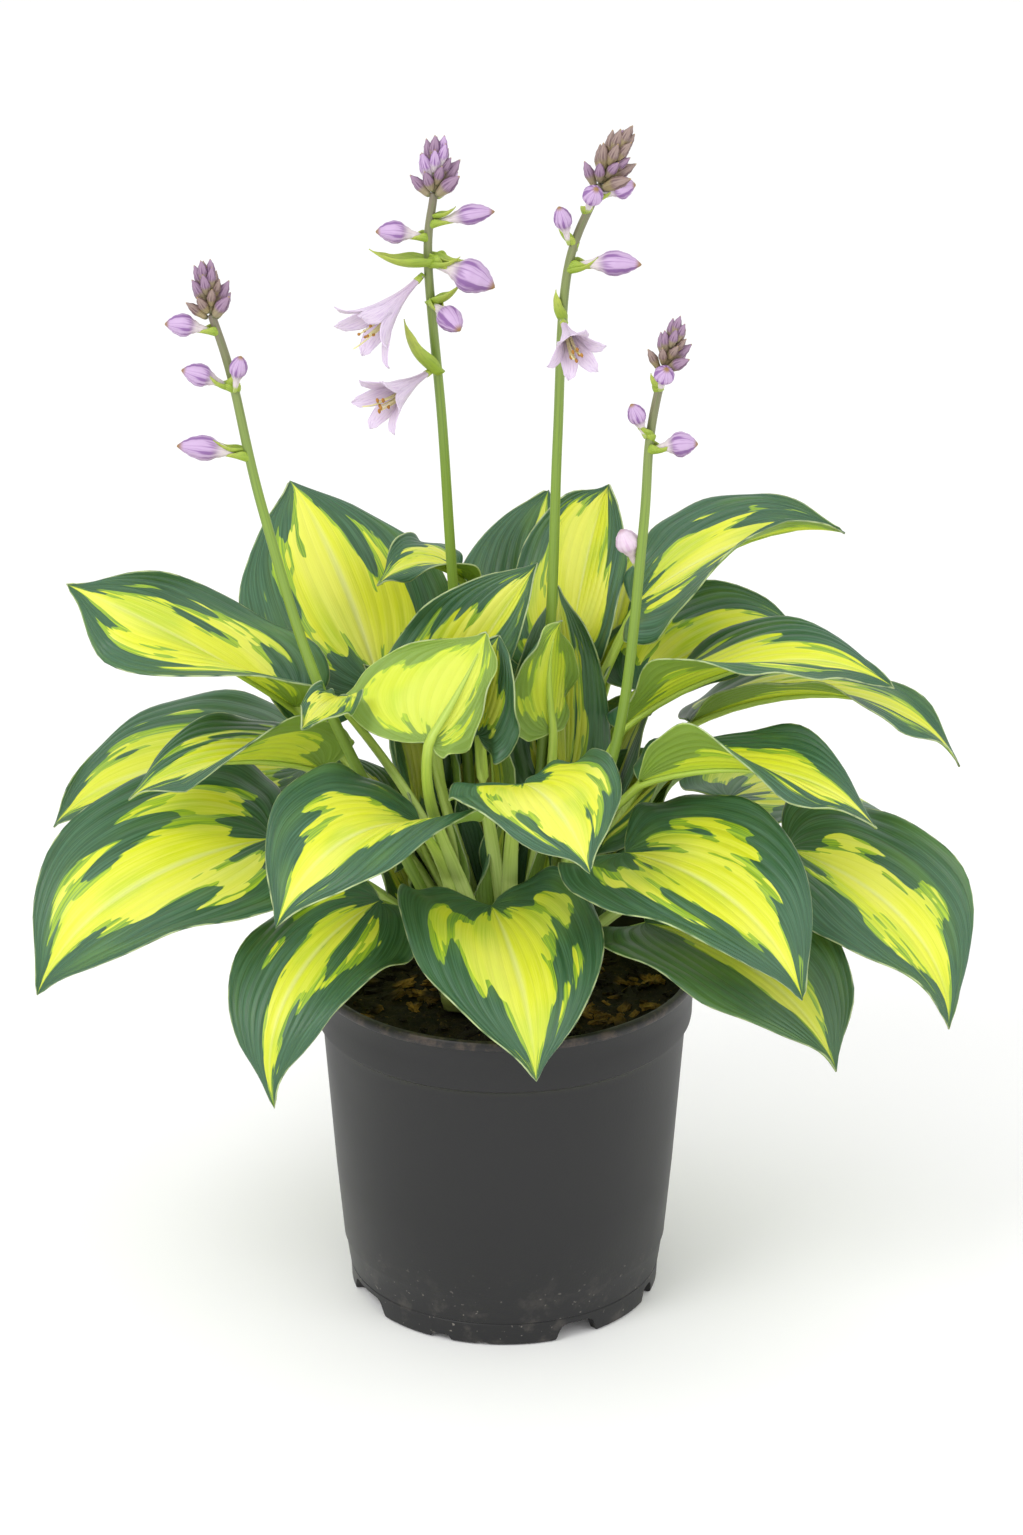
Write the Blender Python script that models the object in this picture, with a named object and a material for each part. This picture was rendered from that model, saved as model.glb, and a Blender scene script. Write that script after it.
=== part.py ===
"""A flowering hosta in a round plastic nursery pot, in metres, +Z up.

The pot stands on z = 0 with its axis on x = y = 0. The side with the low
hanging leaves faces -Y. Every leaf is one solid, its stalk and its blade,
and rises from the flat top of the root crown.
"""

import math

import bmesh
import bpy
from mathutils import Matrix, Vector

# --- driving dimensions, in millimetres unless said otherwise ---------------
POT_HEIGHT = 172.0
RIM_RADIUS = 95.0
RIM_DEPTH = 4.5
BAND_RADIUS = 92.0
BAND_FOOT = 145.5
WALL_TOP_RADIUS = 89.8
BASE_RADIUS = 76.0
FOOT_HEIGHT = 10.0
WALL = 1.8
FLOOR_HEIGHT = 12.0
DRAIN_RADIUS = 6.0
DRAIN_RING = 48.0
SOIL_TOP = 152.0
CROWN_TOP = 160.0
CROWN_RADIUS = 36.0
GAP = 0.3
LEAF_THICKNESS = 1.0
STALK_ROOT = 3.1
STALK_NECK = 2.3
POT_SIDES = 40

MM = 0.001


# --- clearing and materials -------------------------------------------------
for old in list(bpy.data.objects):
    bpy.data.objects.remove(old, do_unlink=True)


def material(name, colour, roughness):
    made = bpy.data.materials.new(name)
    made.use_nodes = True
    shader = made.node_tree.nodes["Principled BSDF"]
    shader.inputs["Base Color"].default_value = (*colour, 1.0)
    shader.inputs["Roughness"].default_value = roughness
    made.diffuse_color = (*colour, 1.0)
    return made


POT_PLASTIC = ((0.045, 0.045, 0.05), 0.5)
SOIL = ((0.03, 0.02, 0.012), 0.95)
CROWN = ((0.35, 0.36, 0.12), 0.7)
LEAF = ((0.30, 0.45, 0.10), 0.42)
STEM = ((0.20, 0.38, 0.10), 0.5)
BUD = ((0.38, 0.22, 0.45), 0.5)
PETAL = ((0.62, 0.50, 0.78), 0.55)


def node(name, mesh, look):
    thing = bpy.data.objects.new(name, mesh)
    bpy.context.scene.collection.objects.link(thing)
    thing.data.materials.append(material(name, *look))
    return thing


def helper(name, mesh):
    thing = bpy.data.objects.new(name, mesh)
    bpy.context.scene.collection.objects.link(thing)
    thing.hide_render = True
    thing.display_type = "WIRE"
    return thing


def mesh_of(name, points, faces):
    """A mesh from points in millimetres, with its faces turned outward."""
    made = bpy.data.meshes.new(name)
    made.from_pydata([Vector(p) * MM for p in points], [], faces)
    sides = bmesh.new()
    sides.from_mesh(made)
    bmesh.ops.recalc_face_normals(sides, faces=sides.faces)
    sides.to_mesh(made)
    sides.free()
    return made


def boolean(thing, other, operation):
    cut = thing.modifiers.new(other.name, "BOOLEAN")
    cut.operation = operation
    cut.solver = "EXACT"
    cut.object = other


# --- turned pieces ----------------------------------------------------------
def turned(name, profile, sides):
    """A closed solid from a closed (radius, z) outline turned round Z.
    An outline point at radius 0 becomes one point on the axis."""
    points, rings = [], []
    for radius, z in profile:
        if radius == 0:
            rings.append([len(points)] * sides)
            points.append((0, 0, z))
            continue
        rings.append(list(range(len(points), len(points) + sides)))
        for i in range(sides):
            a = 2 * math.pi * (i + 0.5) / sides
            points.append((radius * math.cos(a), radius * math.sin(a), z))
    faces = []
    closed = profile[0][0] != 0
    for k in range(len(rings) if closed else len(rings) - 1):
        low, high = rings[k], rings[(k + 1) % len(rings)]
        for i in range(sides):
            j = (i + 1) % sides
            face = []
            for corner in (low[i], low[j], high[j], high[i]):
                if corner not in face:
                    face.append(corner)
            faces.append(face)
    return mesh_of(name, points, faces)


def disc(name, x, y, z0, z1, radius, sides):
    made = turned(name, [(0, z0), (radius, z0), (radius, z1), (0, z1)], sides)
    made.transform(Matrix.Translation((x * MM, y * MM, 0)))
    return made


# The pot: a lip, a plain band under it, a step in, then the tapering wall
# down to a short foot. The floor sits up inside the foot.
pot_outline = [
    (BASE_RADIUS - 1.0, 0),
    (BASE_RADIUS, 1.0),
    (BASE_RADIUS + 0.6, FOOT_HEIGHT),
    (BASE_RADIUS + 1.4, FOOT_HEIGHT + 0.8),
    (WALL_TOP_RADIUS, BAND_FOOT - 1.0),
    (BAND_RADIUS - 0.4, BAND_FOOT),
    (BAND_RADIUS, POT_HEIGHT - RIM_DEPTH - 0.8),
    (RIM_RADIUS - 0.6, POT_HEIGHT - RIM_DEPTH),
    (RIM_RADIUS, POT_HEIGHT - RIM_DEPTH + 1.2),
    (RIM_RADIUS - 0.4, POT_HEIGHT - 0.8),
    (RIM_RADIUS - 1.6, POT_HEIGHT),
    (BAND_RADIUS - WALL, POT_HEIGHT - 0.6),
    (BAND_RADIUS - WALL - 0.6, BAND_FOOT + 1.0),
    (WALL_TOP_RADIUS - WALL, BAND_FOOT - 3.0),
    (BASE_RADIUS - WALL + 0.8, FLOOR_HEIGHT),
    (0, FLOOR_HEIGHT),
    (0, FLOOR_HEIGHT - 2.2),
    (BASE_RADIUS - 4.0, FLOOR_HEIGHT - 2.2),
    (BASE_RADIUS - 4.6, 0),
]
# The outline starts and ends at the foot's underside, so the pot is turned
# from the axis point round to the other axis point.
start = pot_outline.index((0, FLOOR_HEIGHT - 2.2))
pot = node(
    "pot",
    turned("pot", pot_outline[start:] + pot_outline[:start], POT_SIDES),
    POT_PLASTIC,
)
for k in range(5):
    a = 2 * math.pi * k / 4 + math.pi / 4
    x, y = (0, 0) if k == 4 else (DRAIN_RING * math.cos(a), DRAIN_RING * math.sin(a))
    drain = helper(f"drain_{k}", disc(f"drain_{k}", x, y, 4, 18, DRAIN_RADIUS, 12))
    boolean(pot, drain, "DIFFERENCE")


def block(name, size, place, turn):
    made = bpy.data.meshes.new(name)
    sides = bmesh.new()
    bmesh.ops.create_cube(sides, size=1.0)
    bmesh.ops.scale(sides, vec=[s * MM for s in size], verts=sides.verts)
    sides.to_mesh(made)
    sides.free()
    thing = helper(name, made)
    thing.location = [p * MM for p in place]
    thing.rotation_euler = (0, 0, math.radians(turn))
    return thing


# Slots cut through the foot's skirt, where water leaves the pot.
for k, (turn, width, height) in enumerate(
    [(-153, 30, 9), (-114, 10, 3), (-98, 6, 1.5), (-62, 20, 9), (-22, 11, 8), (20, 18, 9), (70, 20, 9), (125, 20, 9)]
):
    a = math.radians(turn)
    r = BASE_RADIUS - 1.5
    slot = block(
        f"foot_slot_{k}",
        (9, width, 2 * height),
        (r * math.cos(a), r * math.sin(a), 0),
        turn,
    )
    boolean(pot, slot, "DIFFERENCE")

# The potting soil fills the pot to a little under the band's step.
soil_foot = FLOOR_HEIGHT + GAP
inner = BASE_RADIUS - WALL + 0.8 - 2 * GAP
top_inner = BAND_RADIUS - WALL - 0.6 - 2 * GAP
node(
    "potting_soil",
    turned(
        "potting_soil",
        [
            (0, soil_foot),
            (inner, soil_foot),
            (WALL_TOP_RADIUS - WALL - 2 * GAP, BAND_FOOT - 3.4),
            (top_inner - 0.3, BAND_FOOT + 0.8),
            (top_inner, SOIL_TOP),
            (0, SOIL_TOP),
        ],
        POT_SIDES,
    ),
    SOIL,
)
node(
    "crown",
    turned(
        "crown",
        [
            (0, SOIL_TOP + GAP),
            (CROWN_RADIUS, SOIL_TOP + GAP),
            (CROWN_RADIUS - 1, CROWN_TOP),
            (0, CROWN_TOP),
        ],
        24,
    ),
    CROWN,
)


# --- curves and tubes -------------------------------------------------------
def bezier(a, b, c, d, t):
    s = 1 - t
    return a * s**3 + b * (3 * s * s * t) + c * (3 * s * t * t) + d * t**3


def bezier_slope(a, b, c, d, t):
    s = 1 - t
    return (b - a) * (3 * s * s) + (c - b) * (6 * s * t) + (d - c) * (3 * t * t)


def through(points, count):
    """Points along a smooth curve through the given ones."""
    points = [Vector(p) for p in points]
    ends = [2 * points[0] - points[1], *points, 2 * points[-1] - points[-2]]
    made = []
    spans = len(points) - 1
    for i in range(count + 1):
        at = min(i / count * spans, spans - 1e-6)
        k, t = int(at), at - int(at)
        p0, p1, p2, p3 = ends[k : k + 4]
        made.append(
            0.5
            * (
                2 * p1
                + (p2 - p0) * t
                + (2 * p0 - 5 * p1 + 4 * p2 - p3) * t * t
                + (3 * p1 - p0 - 3 * p2 + p3) * t**3
            )
        )
    return made


def tube(name, path, radii, sides, squash=1.0, level=False):
    """A closed tube along the path. A radius of 0 makes a point."""
    points, rings = [], []
    side = None
    for i, here in enumerate(path):
        ahead = (path[min(i + 1, len(path) - 1)] - path[max(i - 1, 0)]).normalized()
        if i == 1 and level:
            ahead = (path[1] - path[0]).normalized()
        if side is None:
            side = Vector((1, 0, 0)) if abs(ahead.x) < 0.8 else Vector((0, 1, 0))
        side = (side - ahead * side.dot(ahead)).normalized()
        over = ahead.cross(side)
        if radii[i] == 0:
            rings.append([len(points)] * sides)
            points.append(here)
            continue
        rings.append(list(range(len(points), len(points) + sides)))
        for k in range(sides):
            a = 2 * math.pi * k / sides
            points.append(
                here + (side * math.cos(a) + over * math.sin(a) * squash) * radii[i]
            )
    faces = []
    for low, high in zip(rings, rings[1:]):
        for i in range(sides):
            j = (i + 1) % sides
            face = []
            for corner in (low[i], low[j], high[j], high[i]):
                if corner not in face:
                    face.append(corner)
            if len(face) > 2:
                faces.append(face)
    for end, radius in ((rings[0], radii[0]), (rings[-1], radii[-1])):
        if radius:
            faces.append(end)
    return mesh_of(name, points, faces)


# --- leaves -----------------------------------------------------------------
def blade_frame(base, tip, arch, sweep, roll):
    """The midrib's four handles and the way the upper face looks."""
    base, tip = Vector(base), Vector(tip)
    chord = tip - base
    length = chord.length
    along = chord / length
    face = Vector((0, 0, 1)) - along * along.z
    if face.length < 0.05:
        face = Vector((0, -1, 0)) - along * -along.y
    face.normalize()
    turn = math.radians(roll)
    face = face * math.cos(turn) + along.cross(face) * math.sin(turn)
    lateral = face.cross(along)
    push = face * (arch / 0.75) + lateral * (sweep / 0.75)
    return (
        base,
        base + along * (length * 0.3) + push * 0.8,
        base + along * (length * 0.76) + push * 1.22,
        tip,
    ), face, length


def vein_point(u, v, lobe):
    """Flat place on a heart-shaped blade of length 1 and half width 1."""
    edge = abs(v) ** 2
    s = 1 - u
    back, fore = -0.36 * lobe, 0.62
    x = 3 * s * s * u * ((1 - edge) / 3 + edge * back)
    x += 3 * s * u * u * ((1 - edge) * 2 / 3 + edge * fore) + u**3
    w = v * (3 * s * s * u * 1.25 + 3 * s * u * u * 1.45)
    late = min(max((u - 0.66) / 0.34, 0), 1)
    return x, w * (1 - 0.35 * late * late * (3 - 2 * late))


def blade_point(row, u, v):
    base, tip, halves, arch, sweep, roll, left, right, curl, wave, phase, lobes = row
    half, lobe = (halves[0], lobes[0]) if v < 0 else (halves[1], lobes[1])
    handles, face, length = blade_frame(base, tip, arch, sweep, roll)
    x, w = vein_point(u, v, lobe)
    t = max(x, 0)
    spine = bezier(*handles, t)
    along = bezier_slope(*handles, t).normalized()
    if x < 0:
        spine = spine + along * (x * length)
    lateral = face.cross(along).normalized()
    normal = along.cross(lateral)
    near_base, near_tip = left if w < 0 else right
    fade = min(max(x / 0.75, 0), 1) ** 2
    a = math.radians(near_base + (near_tip - near_base) * fade)
    b = math.radians(curl)
    q = abs(w)
    if abs(b) < 0.001:
        out, up = q * math.cos(a), q * math.sin(a)
    else:
        out = (math.sin(a + b * q) - math.sin(a)) / b
        up = (math.cos(a) - math.cos(a + b * q)) / b
    up = up * half + wave * math.sin(7.5 * u + phase + (1.1 if w > 0 else 0)) * q * q
    return spine + lateral * (math.copysign(out, w) * half) + normal * up, normal


ACROSS, ALONG = 4, 6
STALK_SIDES = 5


def leaf(name, seat, row, look=LEAF):
    """One leaf: a thin blade with a stalk that runs on under its midrib."""
    points, grid = [], []
    for i in range(ALONG + 1):
        u = i / ALONG
        if i in (0, ALONG):
            grid.append([len(points)] * (ACROSS + 1))
            points.append(blade_point(row, u, 0)[0])
            continue
        grid.append(list(range(len(points), len(points) + ACROSS + 1)))
        for j in range(ACROSS + 1):
            points.append(blade_point(row, u, 2 * j / ACROSS - 1)[0])
    faces = []
    for low, high in zip(grid, grid[1:]):
        for j in range(ACROSS):
            face = []
            for corner in (low[j], low[j + 1], high[j + 1], high[j]):
                if corner not in face:
                    face.append(corner)
            faces.append(face)
    made = bpy.data.meshes.new(name)
    made.from_pydata([p * MM for p in points], [], faces)
    blade = node(name, made, look)
    thick = blade.modifiers.new("thickness", "SOLIDIFY")
    thick.thickness = LEAF_THICKNESS * MM
    thick.offset = 0

    handles, face, length = blade_frame(row[0], row[1], row[3], row[4], row[5])
    neck, normal = blade_point(row, 0, 0)
    neck = neck - normal * 1.2
    root = Vector((seat[0], seat[1], CROWN_TOP + GAP))
    reach = (neck - root).length
    leave = bezier_slope(*handles, 0).normalized()
    bend = ((neck - root).normalized() * 1.2 + leave).normalized()
    path = [
        bezier(
            root,
            root + Vector((0, 0, reach * 0.38)),
            neck - bend * (reach * 0.3),
            neck,
            i / 5,
        )
        for i in range(6)
    ]
    path.insert(1, root + Vector((0, 0, 1.5)))
    radii = [STALK_ROOT] + [STALK_ROOT + (STALK_NECK - STALK_ROOT) * i / 5 for i in range(6)]
    for u, radius in ((0.2, 1.5), (0.4, 0.8)):
        rib, normal = blade_point(row, u, 0)
        path.append(rib - normal * 0.8)
        radii.append(radius)
    stalk = helper(name + ".stalk", tube(name + ".stalk", path, radii, STALK_SIDES, level=True))
    boolean(blade, stalk, "UNION")
    return blade


def ring_seat(radius, degrees):
    a = math.radians(degrees)
    return radius * math.cos(a), radius * math.sin(a)


# Each leaf: its seat on the crown (ring radius, direction in degrees from +X),
# the blade's base and tip, its left and right half widths, arch, sweep, roll,
# the rise of its left and right halves (at the base, at the tip), edge curl,
# edge wave, wave phase and how far its left and right lobes reach back.
LEAVES = {
    "leaf_front_centre": (31, -92, ((-6, -48, 222), (15, -132, 171), (48, 46), 16, 0, 0, (12, 0), (12, 0), 0, 2, 0.5, (1.7, 1.7))),
    "leaf_front_low_left": (31, -124, ((-59, -42, 222), (-107, -115, 149), (37, 32), 24, -6, 0, (5, 0), (-20, -5), 0, 3, 1.0, (0.9, 1.0))),
    "leaf_left_mid": (23, -146, ((-39, -52, 266), (-104, -128, 247), (48, 40), 20, -4, -18, (0, 0), (42, 0), 0, 3, 0.0, (1.5, 1.2))),
    "leaf_far_left_big": (31, 186, ((-111, -12, 241), (-220, -75, 188), (56, 50), 24, 0, -12, (22, 18), (0, 0), -5, 4, 2.0, (1.5, 0.7))),
    "leaf_left_upper_mid": (23, 164, ((-87, 4, 271), (-177, -40, 273), (36, 34), 14, 0, -15, (5, 0), (80, 15), 0, 3, 0.0, (1.2, 0.8))),
    "leaf_left_low_back": (31, 160, ((-100, 58, 248), (-220, 28, 230), (52, 40), 22, 0, -20, (5, 0), (0, 0), -5, 4, 1.0, (1.4, 0.8))),
    "leaf_left_up_big": (23, 146, ((-100, 12, 300), (-206, -4, 368), (36, 48), 5, 0, -42, (5, 5), (78, -10), 0, 4, 0.6, (1.1, 0.4))),
    "leaf_back_left_tall": (23, 112, ((-60, 50, 294), (-106, 116, 378), (54, 62), 8, 0, 0, (5, 5), (0, 0), 0, 3, 0.0, (1.2, 1.2))),
    "leaf_inner_left_tip": (15, 208, ((-78, -28, 321), (-94, -60, 317), (10, 15), 5, 0, -20, (10, 0), (30, 0), 0, 2, 0.0, (0.4, 0.5))),
    "leaf_centre_small": (15, 104, ((-19, 70, 344), (-61, 48, 348), (26, 22), 12, 0, -20, (0, 0), (40, 20), 0, 2, 0.0, (1.4, 1.0))),
    "leaf_centre_cup": (15, -122, ((-34, -54, 308), (-8, -30, 354), (54, 16), 2, 0, 176, (-16, -5), (60, 40), 0, 2, 0.0, (1.5, 0.8))),
    "leaf_centre_left_cup": (8, 200, ((-33, 4, 296), (16, 12, 373), (22, 36), 6, 0, 62, (40, 30), (10, 10), 0, 3, 0.0, (0.8, 1.4))),
    "leaf_centre_inner": (8, -80, ((-12, -24, 300), (-2, -18, 348), (26, 26), 4, 0, 30, (25, 15), (35, 20), 0, 3, 0.6, (1.3, 1.3))),
    "leaf_centre_top": (8, -5, ((22, -10, 296), (27, -14, 354), (20, 32), 4, 0, 20, (60, 50), (0, 0), 0, 3, 0.0, (0.8, 1.1))),
    "leaf_right_upright": (15, 30, ((30, 16, 256), (26, 40, 351), (22, 30), 6, 0, 0, (15, 15), (10, 10), 0, 2, 0.0, (1.0, 1.0))),
    "leaf_back_centre_left": (23, 88, ((12, 66, 294), (22, 128, 369), (21, 42), 8, 0, 0, (15, 15), (15, 15), 0, 3, 0.0, (0.6, 1.3))),
    "leaf_back_centre_right": (15, 66, ((32, 58, 307), (52, 114, 377), (28, 36), 8, 0, 0, (30, 30), (30, 30), 0, 3, 0.0, (0.8, 1.1))),
    "leaf_back_right_dark": (23, 60, ((52, 80, 296), (71, 128, 342), (32, 40), 8, 0, 0, (20, 20), (20, 20), 0, 3, 0.0, (1.2, 1.3))),
    "leaf_right_up_big": (23, 43, ((63, 40, 341), (162, 24, 384), (38, 40), 15, 0, 24, (5, 65), (5, 5), 0, 4, 0.0, (0.8, 0.7))),
    "leaf_right_rear_big": (23, 24, ((64, 38, 298), (150, 54, 316), (22, 44), 18, 0, 16, (-10, 0), (8, 5), 0, 3, 0.0, (0.8, 1.6))),
    "leaf_right_front_big": (23, 4, ((56, -8, 298), (183, -36, 328), (34, 48), 22, 0, 4, (52, 0), (0, 12), 0, 4, 0.0, (-0.9, 1.2))),
    "leaf_right_far": (31, 6, ((89, 10, 293), (217, -15, 280), (24, 44), 26, 0, 0, (48, 5), (0, 0), 0, 4, 0.0, (-0.7, 1.0))),
    "leaf_right_mid_lower": (15, -46, ((64, -38, 282), (173, -74, 273), (33, 42), 20, 0, 10, (75, 0), (0, 0), 0, 4, 0.0, (-0.5, 1.0))),
    "leaf_right_big_front": (31, -52, ((57, -56, 253), (137, -133, 213), (44, 50), 20, 0, 4, (0, 0), (22, 18), 0, 4, 0.0, (1.3, 1.4))),
    "leaf_right_low": (31, -34, ((67, -48, 213), (155, -112, 166), (42, 55), 18, 0, 2, (5, 5), (24, 20), 0, 4, 0.0, (1.1, 1.3))),
    "leaf_far_right_big": (31, -14, ((136, -15, 237), (211, -68, 167), (42, 46), 24, 0, 2, (0, 0), (24, 20), 0, 4, 0.0, (0.8, 1.5))),
    "leaf_centre_front_small": (15, -80, ((9, -70, 294), (39, -140, 280), (38, 38), 12, 0, 8, (10, 0), (10, 0), 0, 2, 0.0, (1.8, 1.8))),
    "leaf_back_low_left": (31, 130, ((-60, 74, 214), (-118, 128, 152), (50, 50), 22, 0, 0, (5, 0), (5, 0), -5, 4, 0.0, (1.5, 1.5))),
    "leaf_back_low_centre": (31, 96, ((-8, 66, 190), (-2, 138, 124), (48, 46), 20, 0, 0, (5, 0), (5, 0), -5, 4, 1.5, (1.5, 1.5))),
    "leaf_back_low_right": (31, 66, ((52, 78, 214), (94, 128, 150), (44, 42), 22, 0, 0, (5, 0), (5, 0), -5, 4, 0.7, (1.3, 1.3))),
    "leaf_back_side_right": (31, 36, ((112, 64, 230), (194, 108, 178), (46, 46), 24, 0, 0, (5, 0), (5, 0), -5, 4, 2.0, (1.3, 1.3))),
}
for name, (ring, degrees, row) in LEAVES.items():
    leaf(name, ring_seat(ring, degrees), row)


# --- flower stems -----------------------------------------------------------
SCAPES = {
    "scape_left": ((-14.5, 1), [(-45, -10, 225), (-86.5, -22, 322), (-112, -21, 412), (-125, -17, 474), (-134, -15, 505)]),
    "scape_centre_left": ((-4.5, 7.5), [(-14, 20, 225), (-24, 37, 345), (-29, 23, 439), (-35, 15, 520), (-32, 15, 554)]),
    "scape_centre_right": ((4, 8), [(14, 5, 225), (22, 6, 342), (25, -4, 440), (29, -10, 522), (44, -10, 565)]),
    "scape_right": ((15.5, -1.5), [(30, -12, 215), (54, -32, 304), (64, -40, 405), (67, -36, 452), (73, -35, 486)]),
}
# A bract: its place along the stem (0 foot, 1 top), direction, length, width.
BRACTS = {
    "scape_left": [(0.80, 180, 14, 5), (0.90, 170, 12, 4)],
    "scape_centre_left": [(0.62, 160, 18, 6), (0.86, 140, 16, 5)],
    "scape_centre_right": [(0.84, 180, 18, 5), (0.90, 0, 14, 5)],
    "scape_right": [(0.86, 0, 16, 5), (0.93, 180, 12, 5)],
}


def spindle(name, base, tip, width, sides=6, squash=1.0, sag=0.0, shape=None):
    """A bud or a bract: thin at its stalk, full past the middle, pointed."""
    base, tip = Vector(base), Vector(tip)
    drop = Vector((0, 0, sag))
    shape = shape or [(0, 0.16), (0.25, 0.2), (0.45, 0.5), (0.7, 1.0), (0.88, 0.75), (1, 0)]
    path = [bezier(base, base.lerp(tip, 1 / 3) + drop, base.lerp(tip, 2 / 3) + drop, tip, t) for t, _ in shape]
    return tube(name, path, [r * width / 2 for _, r in shape], sides, squash)


for name, (seat, points) in SCAPES.items():
    root = (*seat, CROWN_TOP + GAP)
    path = through([root, *points], 14)
    path[0] = Vector(root) + Vector((0, 0, 1.2))
    path.insert(0, Vector(root))
    radii = [3.0] + [3.0 - 1.1 * i / 14 for i in range(15)]
    stem = node(name, tube(name, path, radii, 6, level=True), STEM)
    for k, (at, degrees, length, width) in enumerate(BRACTS[name]):
        place = path[1 + round(at * 14)]
        a = math.radians(degrees)
        end = place + Vector((math.cos(a) * length * 0.8, math.sin(a) * length * 0.8, length * 0.45))
        shape = [(0, 0.7), (0.4, 1.0), (0.75, 0.7), (1, 0)]
        bract = helper(
            f"{name}.bract_{k}",
            spindle(f"{name}.bract_{k}", place, end, width, 5, 0.45, 1.0, shape),
        )
        boolean(stem, bract, "UNION")


def cluster(name, base, tip, width):
    """The packed young buds at a stem's end, as one knobbly cone."""
    base, tip = Vector(base), Vector(tip)
    axis = tip - base
    ahead = axis.normalized()
    side = ahead.orthogonal().normalized()
    over = ahead.cross(side)
    points, rings, sides, rows = [], [], 10, 5
    for i in range(rows + 1):
        t = i / rows
        if i in (0, rows):
            rings.append([len(points)] * sides)
            points.append(base + axis * t)
            continue
        rings.append(list(range(len(points), len(points) + sides)))
        for k in range(sides):
            a = 2 * math.pi * k / sides + i * 0.5
            bump = 1.0 if k % 2 else 0.72
            r = width / 2 * math.sin(math.pi * min(t * 0.8 + 0.18, 1)) * bump
            points.append(base + axis * (t + 0.06 * (k % 2)) + (side * math.cos(a) + over * math.sin(a)) * r)
    faces = []
    for low, high in zip(rings, rings[1:]):
        for i in range(sides):
            j = (i + 1) % sides
            face = []
            for corner in (low[i], low[j], high[j], high[i]):
                if corner not in face:
                    face.append(corner)
            faces.append(face)
    return node(name, mesh_of(name, points, faces), BUD)


cluster("bud_cluster_left", (-134.2, -15, 506), (-136, -15, 533), 22)
cluster("bud_cluster_centre_left", (-31.8, 15, 555.2), (-29, 15, 582), 22)
cluster("bud_cluster_centre_right", (44.8, -10, 566.5), (59, -10, 595), 22)
cluster("bud_cluster_right", (73.6, -35, 487.5), (82, -35, 511), 18)

# Buds: stalk end and tip, and the greatest width.
BUDS = {
    "bud_left_lowest": ((-120, -15, 437), (-151, -22, 443), 11),
    "bud_left_second": ((-129, -15, 470), (-148, -20, 479), 10),
    "bud_left_upright": ((-124, -23, 470), (-120, -27, 488), 8),
    "bud_left_third": ((-136, -15, 496), (-155, -20, 501), 10),
    "bud_centre_left_big": ((-32, 14, 519), (-4, 4, 511), 15),
    "bud_centre_left_front": ((-32, 10, 499), (-20, -8, 494), 11),
    "bud_centre_left_side": ((-37, 15, 532), (-59, 10, 536), 10),
    "bud_centre_left_upper": ((-31, 15, 539), (-4, 12, 545), 9),
    "bud_centre_right_low": ((33, -10, 526), (63, -16, 528), 11),
    "bud_centre_right_inner": ((28, -13, 538), (25, -18, 556), 8),
    "bud_centre_right_side": ((46, -11, 558), (60, -14, 565), 10),
    "bud_centre_right_front": ((38, -14, 553), (42, -24, 566), 9),
    "bud_right_low": ((70, -36, 446), (89, -40, 450), 11),
    "bud_right_inner": ((63, -39, 454), (58, -42, 470), 8),
    "bud_right_front": ((72, -40, 476), (74, -46, 488), 9),
}
for name, (base, tip, width) in BUDS.items():
    node(name, spindle(name, base, tip, width, 6, 1.0, 1.5), BUD)


# --- open flowers -----------------------------------------------------------
PETALS = 6


def flower_point(base, mouth, reach, u, turn):
    """Place on the flower's wall. u runs from the stalk (0) over the throat
    (0.6) to the petal ends (1); turn is the direction round the axis."""
    axis = mouth - base
    ahead = axis.normalized()
    side = ahead.orthogonal().normalized()
    over = ahead.cross(side)
    if u < 0.6:
        t = u / 0.6
        along, radius = t * 0.86, 1.4 + 7.0 * t * t * (3 - 2 * t)
    else:
        t = (u - 0.6) / 0.4
        along, radius = 0.86 + 0.2 * math.sin(t * 2.2), 8.4 + (reach - 8.4) * t
    return base + axis * along + (side * math.cos(turn) + over * math.sin(turn)) * radius


def flower(name, base, mouth, reach):
    base, mouth = Vector(base), Vector(mouth)
    around = PETALS * 2
    points = [flower_point(base, mouth, reach, 0, 0) * 0 + base]
    rings = [[0] * around]
    for u in (0.04, 0.3, 0.6):
        rings.append(list(range(len(points), len(points) + around)))
        for k in range(around):
            points.append(flower_point(base, mouth, reach, u, 2 * math.pi * k / around))
    faces = []
    for low, high in zip(rings, rings[1:]):
        for i in range(around):
            j = (i + 1) % around
            face = []
            for corner in (low[i], low[j], high[j], high[i]):
                if corner not in face:
                    face.append(corner)
            faces.append(face)
    for petal in range(PETALS):
        edge = [rings[-1][(petal * 2 + k) % around] for k in range(3)]
        middle = 2 * math.pi * (petal * 2 + 1) / around
        for u, spread in ((0.74, 0.5), (0.88, 0.36), (1.0, 0.0)):
            if spread:
                row = []
                for k in range(3):
                    row.append(len(points))
                    turn = middle + (k - 1) * spread
                    points.append(flower_point(base, mouth, reach, u, turn))
            else:
                row = [len(points)] * 3
                points.append(flower_point(base, mouth, reach, u, middle))
            for k in range(2):
                face = []
                for corner in (edge[k], edge[k + 1], row[k + 1], row[k]):
                    if corner not in face:
                        face.append(corner)
                faces.append(face)
            edge = row
    made = bpy.data.meshes.new(name)
    made.from_pydata([p * MM for p in points], [], faces)
    thing = node(name, made, PETAL)
    thick = thing.modifiers.new("thickness", "SOLIDIFY")
    thick.thickness = 0.7 * MM
    thick.offset = 0
    return thing


flower("flower_left", (-38, 13, 514), (-60, -6, 496), 20)
flower("flower_lower_left", (-34, 13, 468), (-54, -11, 462), 16)
flower("flower_centre", (27, -16, 501), (32, -36, 494), 15)
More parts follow.
